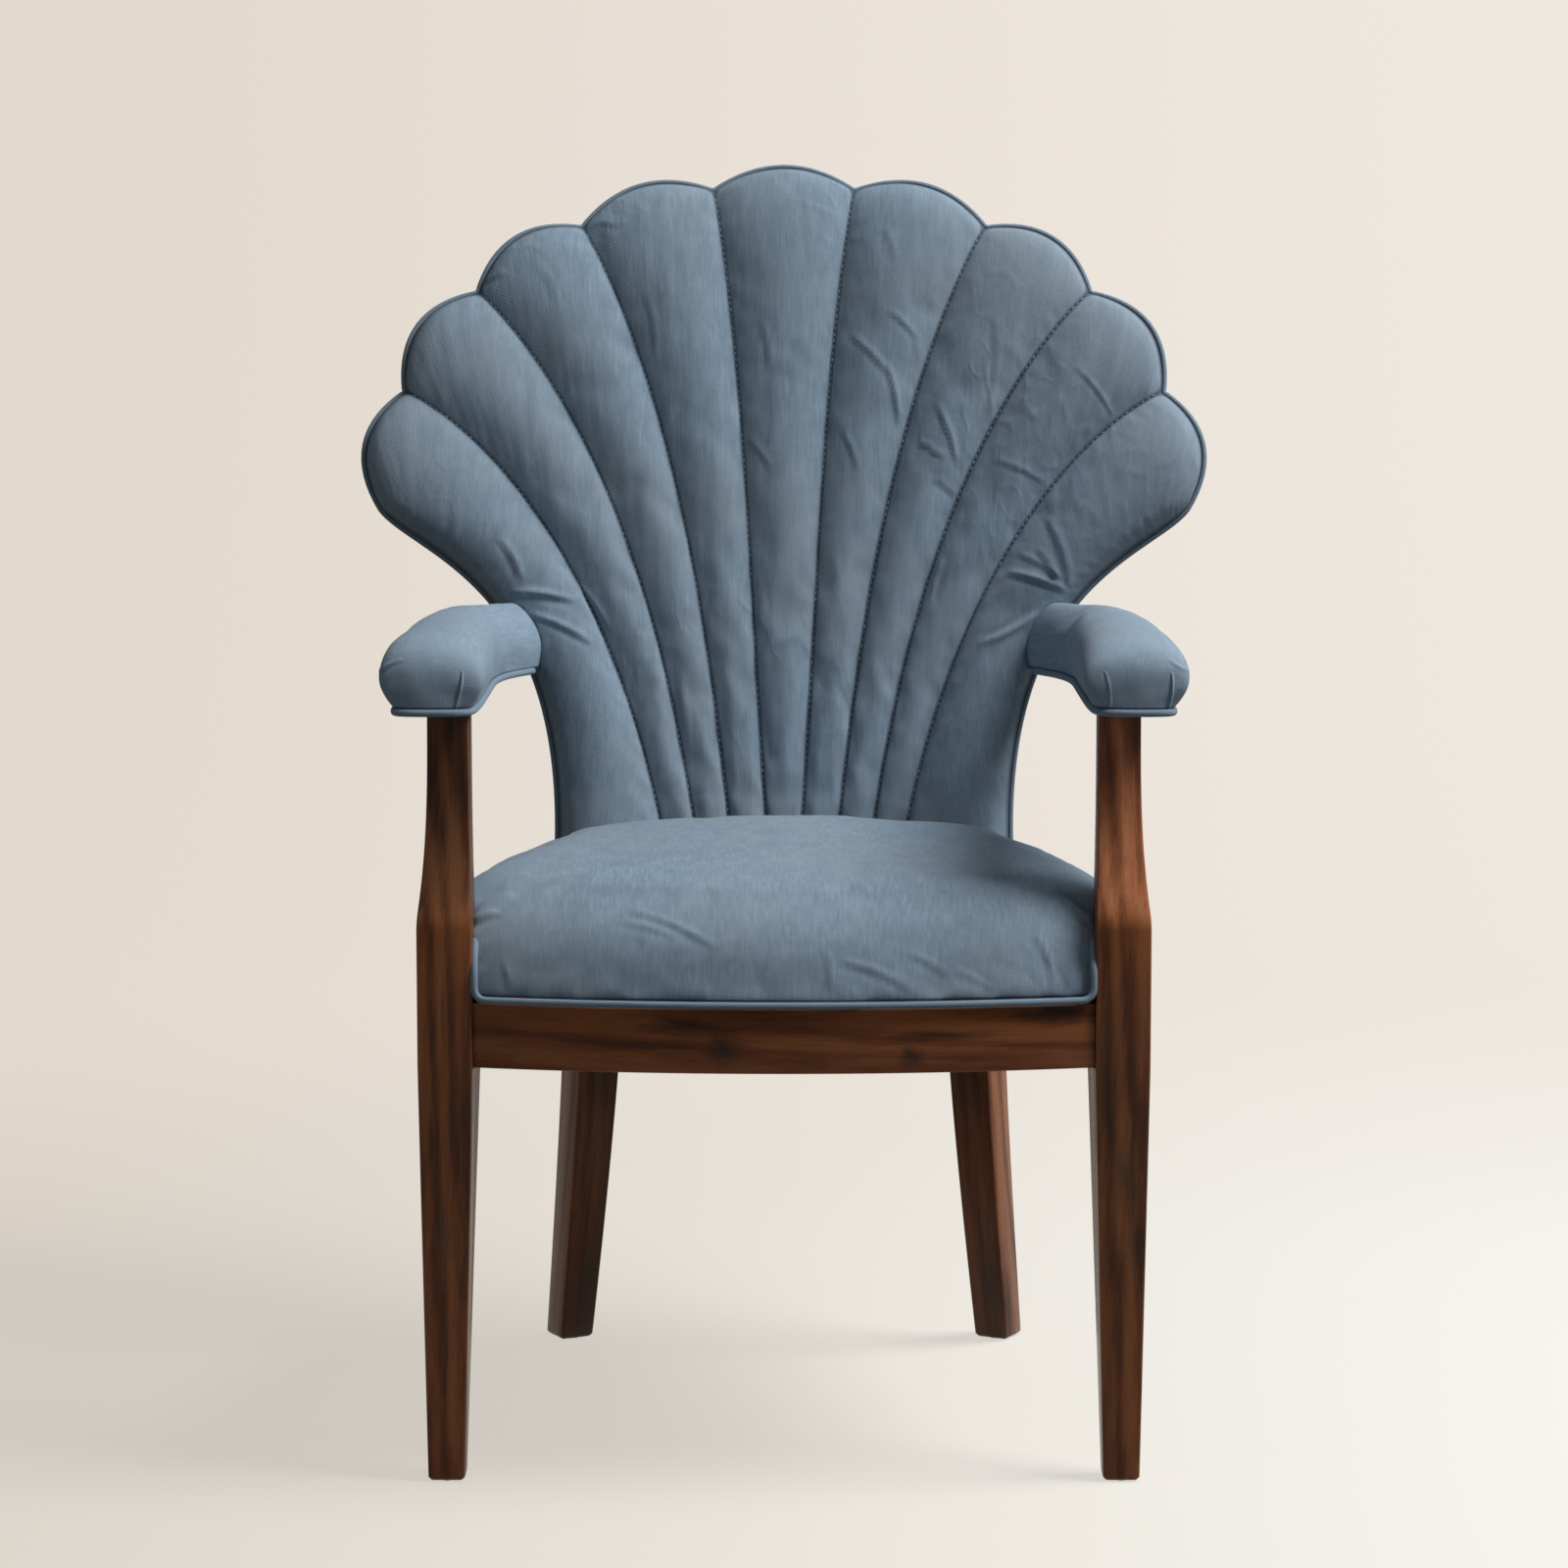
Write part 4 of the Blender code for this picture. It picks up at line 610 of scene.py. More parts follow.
# painted shade: a darker copy of the linen for the piping
pipingLinenPaintedShade = makeLinen("pipingLinenPaintedShade", False, 0.0, linen["pipingPaintedShade"])
threadFinish = makeSpeckled("seamThread", (0.070, 0.105, 0.145), (0.240, 0.315, 0.380), 120.0, 0.7)
innerWood = makePlainWood("innerBeech", (0.50, 0.33, 0.19), (0.33, 0.20, 0.105), 1.6)
plywoodFace = makePlainWood("birchPlywood", (0.58, 0.43, 0.27), (0.43, 0.30, 0.17), 0.8)
zincPlate = makeZinc()
glideNylon = makeSpeckled("glideNylon", (0.045, 0.036, 0.030), (0.075, 0.062, 0.052), 500.0, 0.55)
juteWebbing = makeSpeckled("juteWebbing", (0.25, 0.18, 0.10), (0.46, 0.35, 0.21), 420.0, 0.92)
blackCambric = makeSpeckled("blackCambric", (0.012, 0.012, 0.013), (0.034, 0.034, 0.036), 900.0, 0.95)
print("finishes made")


# Sizes shared by the frame and the upholstery

chair = {
    "legOuter": 0.288,          # half the width over the front legs
    "legWidth": 0.0435,
    "legDepth": 0.045,
    "legFoot": 0.029,
    "footInset": 0.0054,
    "footSetback": 0.006,
    "legBase": 0.0008,          # the glides stand this far out of the feet
    "footRound": 0.0032,
    "legTurn": 0.0036,          # the front legs' rear inner corners, below the rails
    "creaseHeight": 0.450,      # where the posts start to lean back
    "kneeRound": 0.0070,        # the crease is rounded this far up and down
    "postTop": 0.6155,
    "postWidth": 0.0335,
    "postDepth": 0.030,
    "postInset": 0.007,
    "postSetback": 0.035,
    "postEase": 3.0,
    "railBottom": 0.334,
    "railTop": 0.385,
    "railThickness": 0.024,
    "railSetback": 0.004,
    "railBow": 0.030,
    "deck": 0.3889,             # what the seat lies on
    "edgeRound": 0.0022,        # rounding of the timber's edges
    "railRound": 0.0014,
    "joint": 0.0003,            # room in the timber's joints
    "wornAndHighlitEdge": 0.0016,         # the rails' rubbed edges, with a painted highlight
    "wornAndHighlitCorner": (0.82, 0.96), # the legs' rubbed corners, with a painted highlight, as shares of the section
    "roundedAngle": 40.0,       # the rails' edges sharper than this are rounded
    "sideInset": 0.003,         # the side rails, inside the front legs
    "shoulder": 0.001,          # the front legs widen this far under the rails
    "legRings": (0.12, 0.23),
    "kneeRing": 0.39,
    "kneeSteps": 4,
    "postSteps": 18,
    "bowSteps": 49,
    "sharpAngle": 24.0,
}
legInner = chair["legOuter"] - chair["legWidth"]


def railFront(x):  # the bowed front rail's face
    return chair["railSetback"] - chair["railBow"] * (1.0 - (x / legInner) ** 2)


fan = {
    "setback": 0.444,           # the back panel's face at the seat
    "rake": math.radians(10.0),
    "wrap": 1.5,                # radius of the curve round the sitter
    "centre": 0.2622,           # centre of the ring of cusps, up the back
    "angles": (9.2, 27.0, 43.0, 59.1, 74.7),
    "radii": (0.3925, 0.3957, 0.3990, 0.3920, 0.3703),
    "rises": (0.0217, 0.0222, 0.0235, 0.0251, 0.0248),
    "fade": 3.0,
    "feet": (0.0075, 0.0394, 0.0690, 0.0962),
    "seam": (math.radians(6.3), 0.318, 0.326, 1.03),       # lean, two handles, turn at the cusp
    "neckFoot": 0.2045,
    "neck": (math.radians(-6.7), 0.766, 0.136, math.radians(38.2)),
    "neckInward": math.radians(35.0),
}
ranks = len(fan["angles"])
lobes = 2 * ranks - 1


def fanPlace(u, h, w):  # across and up the back, and forward of the panel
    turn = u / fan["wrap"]
    forward = fan["wrap"] - (fan["wrap"] - w) * math.cos(turn)
    rake = fan["rake"]
    return (
        (fan["wrap"] - w) * math.sin(turn),
        fan["setback"] - forward * math.cos(rake) + h * math.sin(rake),
        chair["deck"] + h * math.cos(rake) + forward * math.sin(rake),
    )


def backDepth(x, z, w):  # depth of the panel's face, or of a face in front of it, at a place
    rake = fan["rake"]
    forward = fan["wrap"] - math.sqrt((fan["wrap"] - w) ** 2 - x * x)
    h = (z - chair["deck"] - forward * math.sin(rake)) / math.cos(rake)
    return fan["setback"] - forward * math.cos(rake) + h * math.sin(rake)


def fanBorder(index, v, inset):  # the fan's edges and the seams between its channels
    side = -1 if index < ranks else 1
    rank = ranks - 1 - index if index < ranks else index - ranks
    angle = math.radians(fan["angles"][rank])
    ray = Vector((math.sin(angle), math.cos(angle)))
    if rank == ranks - 1:
        inward = fan["neckInward"]
        cusp = fan["radii"][rank] * ray + inset * Vector((-math.cos(inward), math.sin(inward)))
        foot = Vector((fan["neckFoot"] - inset, 0.0))
        lean, rise, run, turn = fan["neck"]
    else:
        cusp = (fan["radii"][rank] - inset) * ray
        foot = Vector((fan["feet"][rank], 0.0))
        lean, rise, run, turn = fan["seam"]
        turn *= angle
    cusp.y += fan["centre"]
    chord = (cusp - foot).length
    low = foot + rise * chord * Vector((math.sin(lean), math.cos(lean)))
    high = cusp - run * chord * Vector((math.sin(turn), math.cos(turn)))
    rest = 1.0 - v
    point = rest ** 3 * foot + 3 * v * rest ** 2 * low + 3 * v * v * rest * high + v ** 3 * cusp
    return Vector((side * point.x, point.y))


def channelPlace(channel, s, v, inset):
    first = fanBorder(channel, v, inset)
    second = fanBorder(channel + 1, v, inset)
    across = second - first
    outward = Vector((-across.y, across.x)).normalized()
    bulge = fan["rises"][abs(channel - ranks + 1)] * 4.0 * s * (1.0 - s) * v ** fan["fade"]
    return first.lerp(second, s) + outward * bulge, across.length


def neckShare(channel, s):  # 0 on the fan's outer edges and 1 on every inner channel
    if channel == 0:
        return s
    return 1.0 - s if channel == lobes - 1 else 1.0


def crowdedRows(settings):  # rows up the back, which gather towards the scallops
    count = settings["rows"]
    return [1.0 - (1.0 - j / count) ** settings["crowding"] for j in range(count + 1)]


def channelColumns(steps):
    columns = [(channel, step) for channel in range(lobes) for step in steps]
    return columns + [(lobes - 1, 1.0)]


# Arms: padded rests that bend in to the back

arm = {
    "bottom": 0.6150,
    "thickness": 0.0602,
    "crown": 0.962,             # how much of the cage's height the smoothed pad keeps
    "dip": 0.0030,              # the underside comes down this far towards the back
    "spread": 0.275,
    "front": 0.0078,
    "lip": 0.012,
    "nose": 0.040,
    "width": 0.084,
    "elbowWidth": 0.066,
    "endWidth": 0.044,
    "bulge": 0.0110,            # how far the outer side swells over its foot
    "innerBulge": 0.0105,
    "corner": (0.0110, 0.0030), # the foot's inner front corner is cut back
    "outerCorner": (0.0060, 0.0015),
    "bulgeHeight": 0.45,
    "dome": 0.70,               # width of the top, as a share of the full width
    "outerDome": 0.86,
    "endDomes": (0.62, 0.44, 0.30),             # the inner side is rounder towards the end
    "slimming": (0.003, 0.008, 0.012),          # and draws back
    "lowering": (0.0, 0.01, 0.035, 0.065),      # and the top comes down, as shares of the height
    "elbow": 0.330,             # the width changes here
    "bend": 0.245,              # the bend starts here and runs to the back
    "bendRadius": 0.450,
    "bendShares": (0.28, 0.56, 0.84),
    "turn": math.radians(24.0),
    "rolls": (0.55, 0.82, 0.97),    # share of the full height at the front edge and behind it
    "end": 0.0065,
    "padding": {"pressure": 3.0, "bending": 2.0, "frames": 12, "most": 0.0022},
    "held": (0.004, 0.09),      # the cloth is fixed below this height, and this far behind the elbow
    "unevenness": ((0.045, 0.0011, (1.0, 0.5, 1.0), 3.0), (0.016, 0.00035, (1.0, 1.0, 1.0), 9.0)),
    "frontCloth": 0.016,        # the front's weave reaches this far round the edge
    # painted shade along the piping, from and to these heights over the underside
    "paintedSeamShade": (0.0020, 0.0075),
    "underside": (0.9, 0.99),   # faces that look down this much have no seam's shade
    "fill": 0.9,
    "creases": {
        -1: (
            (-0.2510, 0.646, -0.2580, 0.614, 0.0009, 0.0017),
            (-0.3190, 0.643, -0.2980, 0.6555, 0.0016, 0.0010),
        ),
        1: (
            (0.2505, 0.646, 0.2545, 0.614, 0.0010, 0.0010),
            (0.3025, 0.645, 0.2995, 0.614, 0.0009, 0.0016),
            (0.3190, 0.645, 0.3000, 0.6555, 0.0016, 0.0007),
        ),
    },
}


def armWidth(y):
    if y < arm["elbow"]:
        share = max(0.0, y - arm["front"] - arm["nose"]) / (arm["elbow"] - arm["front"])
        return between(arm["width"], arm["elbowWidth"], share)
    share = min(1.0, (y - arm["elbow"]) / (fan["setback"] - arm["elbow"]))
    return between(arm["elbowWidth"], arm["endWidth"], share)


def armFoot(y):  # height of the underside
    return arm["bottom"] - arm["dip"] * ease(y, arm["bend"], fan["setback"])


def armStations():  # the centre line, with the direction it turns to
    nose = arm["front"] + arm["nose"]
    depths = (arm["front"], arm["front"] + arm["lip"], nose, (nose + arm["bend"]) / 2, arm["bend"])
    stations = [(arm["spread"], y, 0.0) for y in depths]
    for share in arm["bendShares"]:
        turn = arm["turn"] * share
        x = arm["spread"] - arm["bendRadius"] * (1.0 - math.cos(turn))
        stations.append((x, arm["bend"] + arm["bendRadius"] * math.sin(turn), turn))
    return stations


def runToBack(x, y, z, w):  # straight on along the arm until it meets the back
    length = 0.0
    for _ in range(12):
        target = backDepth(x - length * math.sin(arm["turn"]), z, w)
        length = (target - y) / math.cos(arm["turn"])
    return x - length * math.sin(arm["turn"]), y + length * math.cos(arm["turn"])


def armSection(width, swell, domeShare):  # half a section, from its foot to its top
    bulge = width / 2
    foot = bulge - swell * (width / arm["width"]) ** 3
    dome = bulge * domeShare
    middle = (6 * bulge - foot - dome) / 4  # so that the smoothed side still reaches the bulge
    return [(foot, 0.0), (middle, arm["bulgeHeight"]), (dome, 1.0)]


def armRings():
    rings = []
    full = arm["thickness"] / arm["crown"]
    stations = armStations()
    bends = len(stations) - len(arm["slimming"])
    for index, (x, y, turn) in enumerate(stations):
        height = full * (arm["rolls"][index] if index < len(arm["rolls"]) else 1.0)
        dome = arm["dome"] if index < bends else arm["endDomes"][index - bends]
        inner = armSection(armWidth(y), arm["innerBulge"], dome)
        outer = armSection(armWidth(y), arm["bulge"], arm["outerDome"])
        if index < len(arm["corner"]):
            inner[0] = (inner[0][0] - arm["corner"][index], 0.0)
            outer[0] = (outer[0][0] - arm["outerCorner"][index], 0.0)
        if index >= bends:
            inner = [(a - arm["slimming"][index - bends], b) for a, b in inner]
            height *= 1.0 - arm["lowering"][index - bends]
        section = [(-a, b) for a, b in inner] + [(a, b) for a, b in reversed(outer)]
        rings.append([
            (x + a * math.cos(turn), y + a * math.sin(turn), armFoot(y) + b * height)
            for a, b in section
        ])
    x, y, turn = stations[-1]
    foot, end = armFoot(y), armFoot(fan["setback"])
    narrow = arm["endWidth"] / armWidth(y)
    lower = (1.0 - arm["lowering"][-1]) / (1.0 - arm["lowering"][-2])
    slim = []
    for px, py, pz in rings[-1]:
        pz = end + (pz - foot) * lower
        slim.append((between(x, px, narrow), between(y, py, narrow), pz))
    rings.append([(*runToBack(px, py, pz, arm["end"]), pz) for px, py, pz in slim])
    return rings


def armCloth():  # across the cloth from the top's middle, and along the arm
    cloth = []
    along, last = 0.0, None
    for ring in armRings():
        points = [Vector(point) for point in ring]
        middle = (points[2] + points[3]) / 2
        if last is not None:
            along += (middle - last).length
        last = middle
        for line, sign in ((points[2::-1], -1), (points[3:], 1)):
            reaches = [(points[3] - points[2]).length / 2]
            for upper, lower in zip(line, line[1:]):
                reaches.append(reaches[-1] + (upper - lower).length)
            cloth += [(sign * reach, along, 0.0) for reach in reaches[::sign]]
    return cloth


def refineFront(piece, depth):  # smaller faces where a pleat has to be crisp
    with editing(piece) as bm:
        for _ in range(2):
            edges = [edge for edge in bm.edges if all(vert.co.y < depth for vert in edge.verts)]
            bmesh.ops.subdivide_edges(bm, edges=edges, cuts=1, use_grid_fill=True, smooth=0.0)


def makeArm(name, side):
    bm, loops = loftRings([[(side * x, y, z) for x, y, z in ring] for ring in armRings()])
    crease = bm.edges.layers.float.new("crease_edge")
    sharp = list(zip(loops[-1], loops[-1][1:] + loops[-1][:1]))
    for lower, upper in zip(loops, loops[1:]):
        sharp += [(lower[0], upper[0]), (lower[-1], upper[-1])]
    sharp.append((loops[0][0], loops[0][-1]))
    for ends in sharp:
        bm.edges.get(ends)[crease] = 1.0
    piece = meshFrom(f"armPad_{name}", bm)
    storeVectors(piece.data, "cloth", armCloth())
    subdivide(piece, 2)
    places = getPlaces(piece.data)
    height, depth = arm["held"]
    fixed = (places[:, 2] < arm["bottom"] + height) | (places[:, 1] > arm["elbow"] + depth)
    inflate(piece, arm["padding"], np.nonzero(fixed)[0])
    subdivide(piece, 2)
    refineFront(piece, arm["front"] + arm["lip"])
    addUnevenness(piece, arm["unevenness"], side)
    addCreases(piece, arm["creases"][side])
    places = getPlaces(piece.data)
    stored = piece.data.attributes["cloth"].data
    cloth = readRows(stored, "vector")
    front = ease(-places[:, 1], -arm["front"] - arm["frontCloth"], -arm["front"])
    cloth[:, 0] = between(cloth[:, 0], places[:, 0] - side * arm["spread"], front)
    cloth[:, 1] -= front * (arm["bottom"] + arm["thickness"] - places[:, 2])
    stored.foreach_set("vector", cloth.ravel())
    turnOutward(piece)
    # painted shade: a thin dark band just above the piping, none on the underside
    under = ease(-getNormals(piece.data)[:, 2], *arm["underside"])
    seam = ease(places[:, 2] - armFoot(places[:, 1]), *arm["paintedSeamShade"])
    storeValues(piece.data, "crown", np.maximum(seam, under))
    finishPiece(piece, armLinenPaintedLight, (f"arm_pad_{name}", f"arm_cover_{name}"))
    return piece


armBoard = {
    "thickness": 0.018,
    "lift": 0.0030,             # the cover goes round under the board
    "margin": 0.0045,
    "nose": 0.012,
    "tail": 0.0062,             # half the width of the tail
    "tailShift": 0.013,
    "tailReach": (0.001, 0.031),    # where the tail starts and ends behind the arm
    "rounding": 0.0012,
    "sharpAngle": 30.0,
}


def makeArmBoard(name, side):  # the board under the padding, with a tail into the rear upright
    low = Vector((0.0, 0.0, armBoard["lift"]))
    high = low + Vector((0.0, 0.0, armBoard["thickness"]))
    plan = []
    for ring in armRings()[2:]:
        inner, outer = Vector(ring[0]), Vector(ring[-1])
        edge = (outer - inner).normalized() * armBoard["margin"]
        plan.append((inner + edge, outer - edge))
    ahead = Vector((0.0, plan[0][0].y - arm["front"] - armBoard["nose"], 0.0))
    plan.insert(0, (plan[0][0] - ahead, plan[0][1] - ahead))
    run = Vector((-math.sin(arm["turn"]), math.cos(arm["turn"]), 0.0))
    across = Vector((math.cos(arm["turn"]), math.sin(arm["turn"]), 0.0)) * armBoard["tail"]
    middle = (plan[-1][0] + plan[-1][1]) / 2 - Vector((armBoard["tailShift"], 0.0, 0.0))
    for reach in armBoard["tailReach"]:
        plan.append((middle + run * reach - across, middle + run * reach + across))
    rings = []
    for inner, outer in plan:
        corners = (inner + low, outer + low, outer + high, inner + high)
        rings.append([(side * point.x, point.y, point.z) for point in corners])
    bm = loftRings(rings)[0]
    bmesh.ops.bevel(
        bm, geom=list(bm.edges), offset=armBoard["rounding"], segments=2, affect="EDGES", clamp_overlap=True
    )
    piece = meshFrom(f"armBoard_{name}", bm)
    turnOutward(piece)
    finishPiece(piece, innerWood, (f"arm_rail_{name}",), sharpAngle=armBoard["sharpAngle"])


armPieces = [makeArm(name, side) for name, side in sides]
for name, side in sides:
    makeArmBoard(name, side)
print("arms padded")


# Inside back: one padded fan of nine sewn channels

fanPad = {
    "inset": 0.0006,            # the padding rolls over the piping's inner half
    "rim": 0.0034,
    "rearInset": 0.0048,
    "seamHeight": 0.0155,
    "puff": 0.185,              # a channel's crown over its seams, as a share of its width
    "mostPuff": 0.0150,
    "puffPower": 0.56,
    "lobeRounding": 14.0,
    "neckRounding": 44.0,
    "steps": (0.0, 0.05, 0.13, 0.27, 0.42, 0.58, 0.73, 0.87, 0.95),
    "rows": 52,
    "crowding": 1.35,           # rows gather towards the scallops
    "padding": {"pressure": 2.5, "bending": 0.6, "frames": 14, "most": 0.0040},
    "unevenness": ((0.075, 0.0009, (1.0, 1.0, 0.5), 5.0),),
    "fill": 0.85,
    "height": 0.62,             # of the cloth
    "crown": 0.020,             # the painted seam shade reaches this far in from a seam
    "pucker": 0.0007,           # small ripples along the seams
    "puckerSize": (0.035, 0.013),
    "puckerPeak": (0.35, 0.3),  # where they are strongest beside a seam, and how widely
    "drag": 0.00042,            # faint long folds that run up the channels
    "dragSize": (0.011, 0.075),
    "dragEdge": (0.1, 0.6),
    "tuckDepth": 0.0045,        # how far off the panel the padding is left under an arm
    "tuckEdge": (0.0008, 0.004),
    "tuckSearch": 0.02,         # only the padding this near to an arm is looked at
    "sheet": 0.0009,            # how far off the panel the closing sheet lies
    "sheetSteps": (0.0, 0.33, 0.67),
    "sheetRows": 10,
    "foldStrength": 0.95,
    "foldWidth": 0.8,
    "creases": (
        (-0.166, 1.001, -0.142, 0.998, 0.0022, 0.0016),
        (-0.217, 0.964, -0.200, 0.933, 0.0026, 0.0010),
        (-0.266, 0.948, -0.247, 0.957, 0.0020, 0.0014),
        (-0.121, 0.940, -0.114, 0.886, 0.0026, 0.0012),
        (-0.020, 0.914, -0.012, 0.874, 0.0024, 0.0016),
        (-0.030, 0.810, -0.012, 0.786, 0.0022, 0.0016),
        (-0.248, 0.726, -0.229, 0.690, 0.0032, 0.0022),
        (-0.240, 0.679, -0.184, 0.671, 0.0036, 0.0030),
        (-0.222, 0.660, -0.168, 0.634, 0.0036, 0.0024),
        (-0.182, 0.686, -0.153, 0.645, 0.0030, 0.0012),
        (0.089, 0.997, 0.097, 0.968, 0.0024, 0.0014),
        (0.093, 0.924, 0.117, 0.900, 0.0022, 0.0016),
        (0.058, 0.903, 0.092, 0.868, 0.0022, 0.0022),
        (0.090, 0.879, 0.101, 0.824, 0.0024, 0.0024),
        (0.052, 0.818, 0.065, 0.786, 0.0024, 0.0018),
        (0.134, 0.843, 0.152, 0.790, 0.0022, 0.0026),
        (0.118, 0.810, 0.141, 0.794, 0.0022, 0.0018),
        (0.133, 0.777, 0.151, 0.762, 0.0022, 0.0016),
        (0.186, 0.918, 0.181, 0.838, 0.0030, 0.0010),
        (0.257, 0.874, 0.289, 0.832, 0.0022, 0.0010),
        (0.184, 0.794, 0.229, 0.774, 0.0024, 0.0012),
        (0.231, 0.744, 0.251, 0.682, 0.0030, 0.0022),
        (0.196, 0.696, 0.247, 0.680, 0.0032, 0.0028),
        (0.223, 0.717, 0.242, 0.683, 0.0026, 0.0022),
        (0.205, 0.712, 0.245, 0.690, 0.0024, 0.0016),
        (0.129, 0.667, 0.141, 0.708, 0.0028, 0.0012),
        (0.013, 1.040, 0.023, 0.968, 0.0028, 0.0010),
        (0.220, 0.660, 0.172, 0.634, 0.0036, 0.0024),
    ),
}


def seamHeight(v):  # height of the padding along a seam
    return fanPad["rim"] + fanPad["seamHeight"] * edgeRise(1.0 - v, fanPad["lobeRounding"])


def makeFanFront():
    columns = channelColumns(fanPad["steps"])
    rows = crowdedRows(fanPad)
    points, cloth, crown, held = [], [], [], []
    for v in rows:
        widths = [(fanBorder(k + 1, v, 0.0) - fanBorder(k, v, 0.0)).length for k in range(lobes)]
        for channel, s in columns:
            spot, width = channelPlace(channel, s, v, fanPad["inset"])
            swell = math.sin(math.pi * s) ** fanPad["puffPower"] if 0.0 < s < 1.0 else 0.0
            rounding = edgeRise(1.0 - v, fanPad["lobeRounding"])
            rounding *= edgeRise(neckShare(channel, s), fanPad["neckRounding"])
            crest = fanPad["mostPuff"] * math.tanh(fanPad["puff"] * width / fanPad["mostPuff"])
            w = fanPad["rim"] + (fanPad["seamHeight"] + crest * swell) * rounding
            if s in (0.0, 1.0) or v in (0.0, 1.0):
                held.append(len(points))
            points.append(fanPlace(spot.x, spot.y, w))
            across = sum(widths[:channel]) + s * widths[channel] - sum(widths) / 2
            cloth.append((across, fanPad["height"] * v, 0.0))
            # crown is 0 at the seams and edges, where painted shade is drawn, and 1 on the crowns
            edge = min(s * width, (1.0 - s) * width, fanPad["height"] * (1.0 - v))
            crown.append(min(1.0, edge / fanPad["crown"]))
    count = len(columns)
    piece = meshPiece("fanBackFront", points, gridFaces(count, len(rows)))
    storeVectors(piece.data, "cloth", cloth)
    storeValues(piece.data, "crown", crown)
    seamColumns = {i for i, (channel, s) in enumerate(columns) if s == 0.0 and channel > 0}
    sharp = piece.data.attributes.new("crease_edge", "FLOAT", "EDGE")
    for edge in piece.data.edges:
        a, b = edge.vertices
        if a % count in seamColumns and b % count == a % count:
            sharp.data[edge.index].value = 1.0
    inflate(piece, fanPad["padding"], held)
    subdivide(piece, 2)
    addUnevenness(piece, fanPad["unevenness"])
    addPuckers(piece)
    addCreases(piece, fanPad["creases"], fanPad["foldStrength"], fanPad["foldWidth"])
    tuckUnderArms(piece)
    closeOnPanel(piece)
    finishPiece(piece, fanLinen, ("back_cover_front", "back_foam"))


def addPuckers(piece):  # the cloth gathers a little beside each seam, and is drawn along each channel
    mesh = piece.data
    crown = readRows(mesh.attributes["crown"].data, "value", 1)[:, 0]
    cloth = readRows(mesh.attributes["cloth"].data, "vector")

    def folds(size, layer):
        wide, long = size
        return np.array([noise.noise(Vector((x / wide, y / long, layer))) for x, y, _ in cloth])

    peak, spread = fanPad["puckerPeak"]
    strength = np.exp(-((crown - peak) / spread) ** 2) * fanPad["pucker"]
    lift = folds(fanPad["puckerSize"], 2.0) * strength
    lift = lift + folds(fanPad["dragSize"], 6.0) * fanPad["drag"] * ease(crown, *fanPad["dragEdge"])
    setPlaces(mesh, getPlaces(mesh) + getNormals(mesh) * lift[:, None])


def insideTree(tree, point):  # an odd number of faces lies above an inside point
    crossings = 0
    start = point.copy()
    while crossings < 12:
        hit = tree.ray_cast(start, Vector((0.0, 0.0, 1.0)))[0]
        if hit is None:
            break
        crossings += 1
        start = hit + Vector((0.0, 0.0, 1e-5))
    return crossings % 2 == 1


def tuckUnderArms(piece):  # the padding is pressed in where an arm meets it
    places = getPlaces(piece.data)
    for armPiece in armPieces:
        armPlaces = getPlaces(armPiece.data) - np.array((0.0, frontFace, 0.0))
        faces = [tuple(face.vertices) for face in armPiece.data.polygons]
        tree = BVHTree.FromPolygons([tuple(point) for point in armPlaces], faces)
        low = armPlaces.min(axis=0) - fanPad["tuckSearch"]
        high = armPlaces.max(axis=0) + fanPad["tuckSearch"]
        near = np.nonzero(((places > low) & (places < high)).all(axis=1))[0]
        for index in near:
            point = Vector(places[index])
            if insideTree(tree, point):
                distance = tree.find_nearest(point)[3]
                target = max(point.y, backDepth(point.x, point.z, fanPad["tuckDepth"]))
                share = float(ease(distance, *fanPad["tuckEdge"]))
                places[index][1] = between(point.y, target, share)
    setPlaces(piece.data, places)


def closeOnPanel(piece):  # a plain sheet against the panel closes the pad
    columns, rows = channelColumns(fanPad["sheetSteps"]), fanPad["sheetRows"]
    with editing(piece) as bm:
        loops = [edge for edge in bm.edges if edge.is_boundary]
        grid = []
        for j in range(rows + 1):
            for channel, s in columns:
                spot = channelPlace(channel, s, j / rows, fanPad["rearInset"])[0]
                grid.append(bm.verts.new(fanPlace(spot.x, spot.y, fanPad["sheet"])))
        made = []
        for a, b, c, d in gridFaces(len(columns), rows + 1):
            made.append(bm.faces.new((grid[a], grid[d], grid[c], grid[b])))
        edges = {edge for face in made for edge in face.edges if edge.is_boundary}
        bmesh.ops.bridge_loops(bm, edges=loops + list(edges))
        bmesh.ops.recalc_face_normals(bm, faces=bm.faces)


makeFanFront()
print("inside back padded")


# Outside back: a tight cover from the piping round to the rear

fanRear = {
    "inset": 0.0010,
    "lip": 0.0042,
    "depth": 0.0640,            # at the seat
    "topDepth": 0.0460,         # at the cusps
    "rounding": 22.0,
    "neckRounding": 60.0,
    "steps": (0.0, 0.17, 0.34, 0.5, 0.66, 0.83),
    "neckSteps": (0.0, 0.012, 0.04, 0.12, 0.3, 0.55, 0.8),
    "rows": 44,
    "crowding": 1.8,
    "return": 0.036,            # the bottom edge turns in under the back
    "returnEase": 8.0,          # how quickly it does so from the neck's edges inwards
    "hem": 0.0012,              # over the deck
    "cloth": 0.0016,
    "unevenness": ((0.11, 0.0016, (1.0, 1.0, 0.7), 17.0), (0.035, 0.0004, (1.0, 1.0, 0.5), 23.0)),
    "fill": 1.0,
}


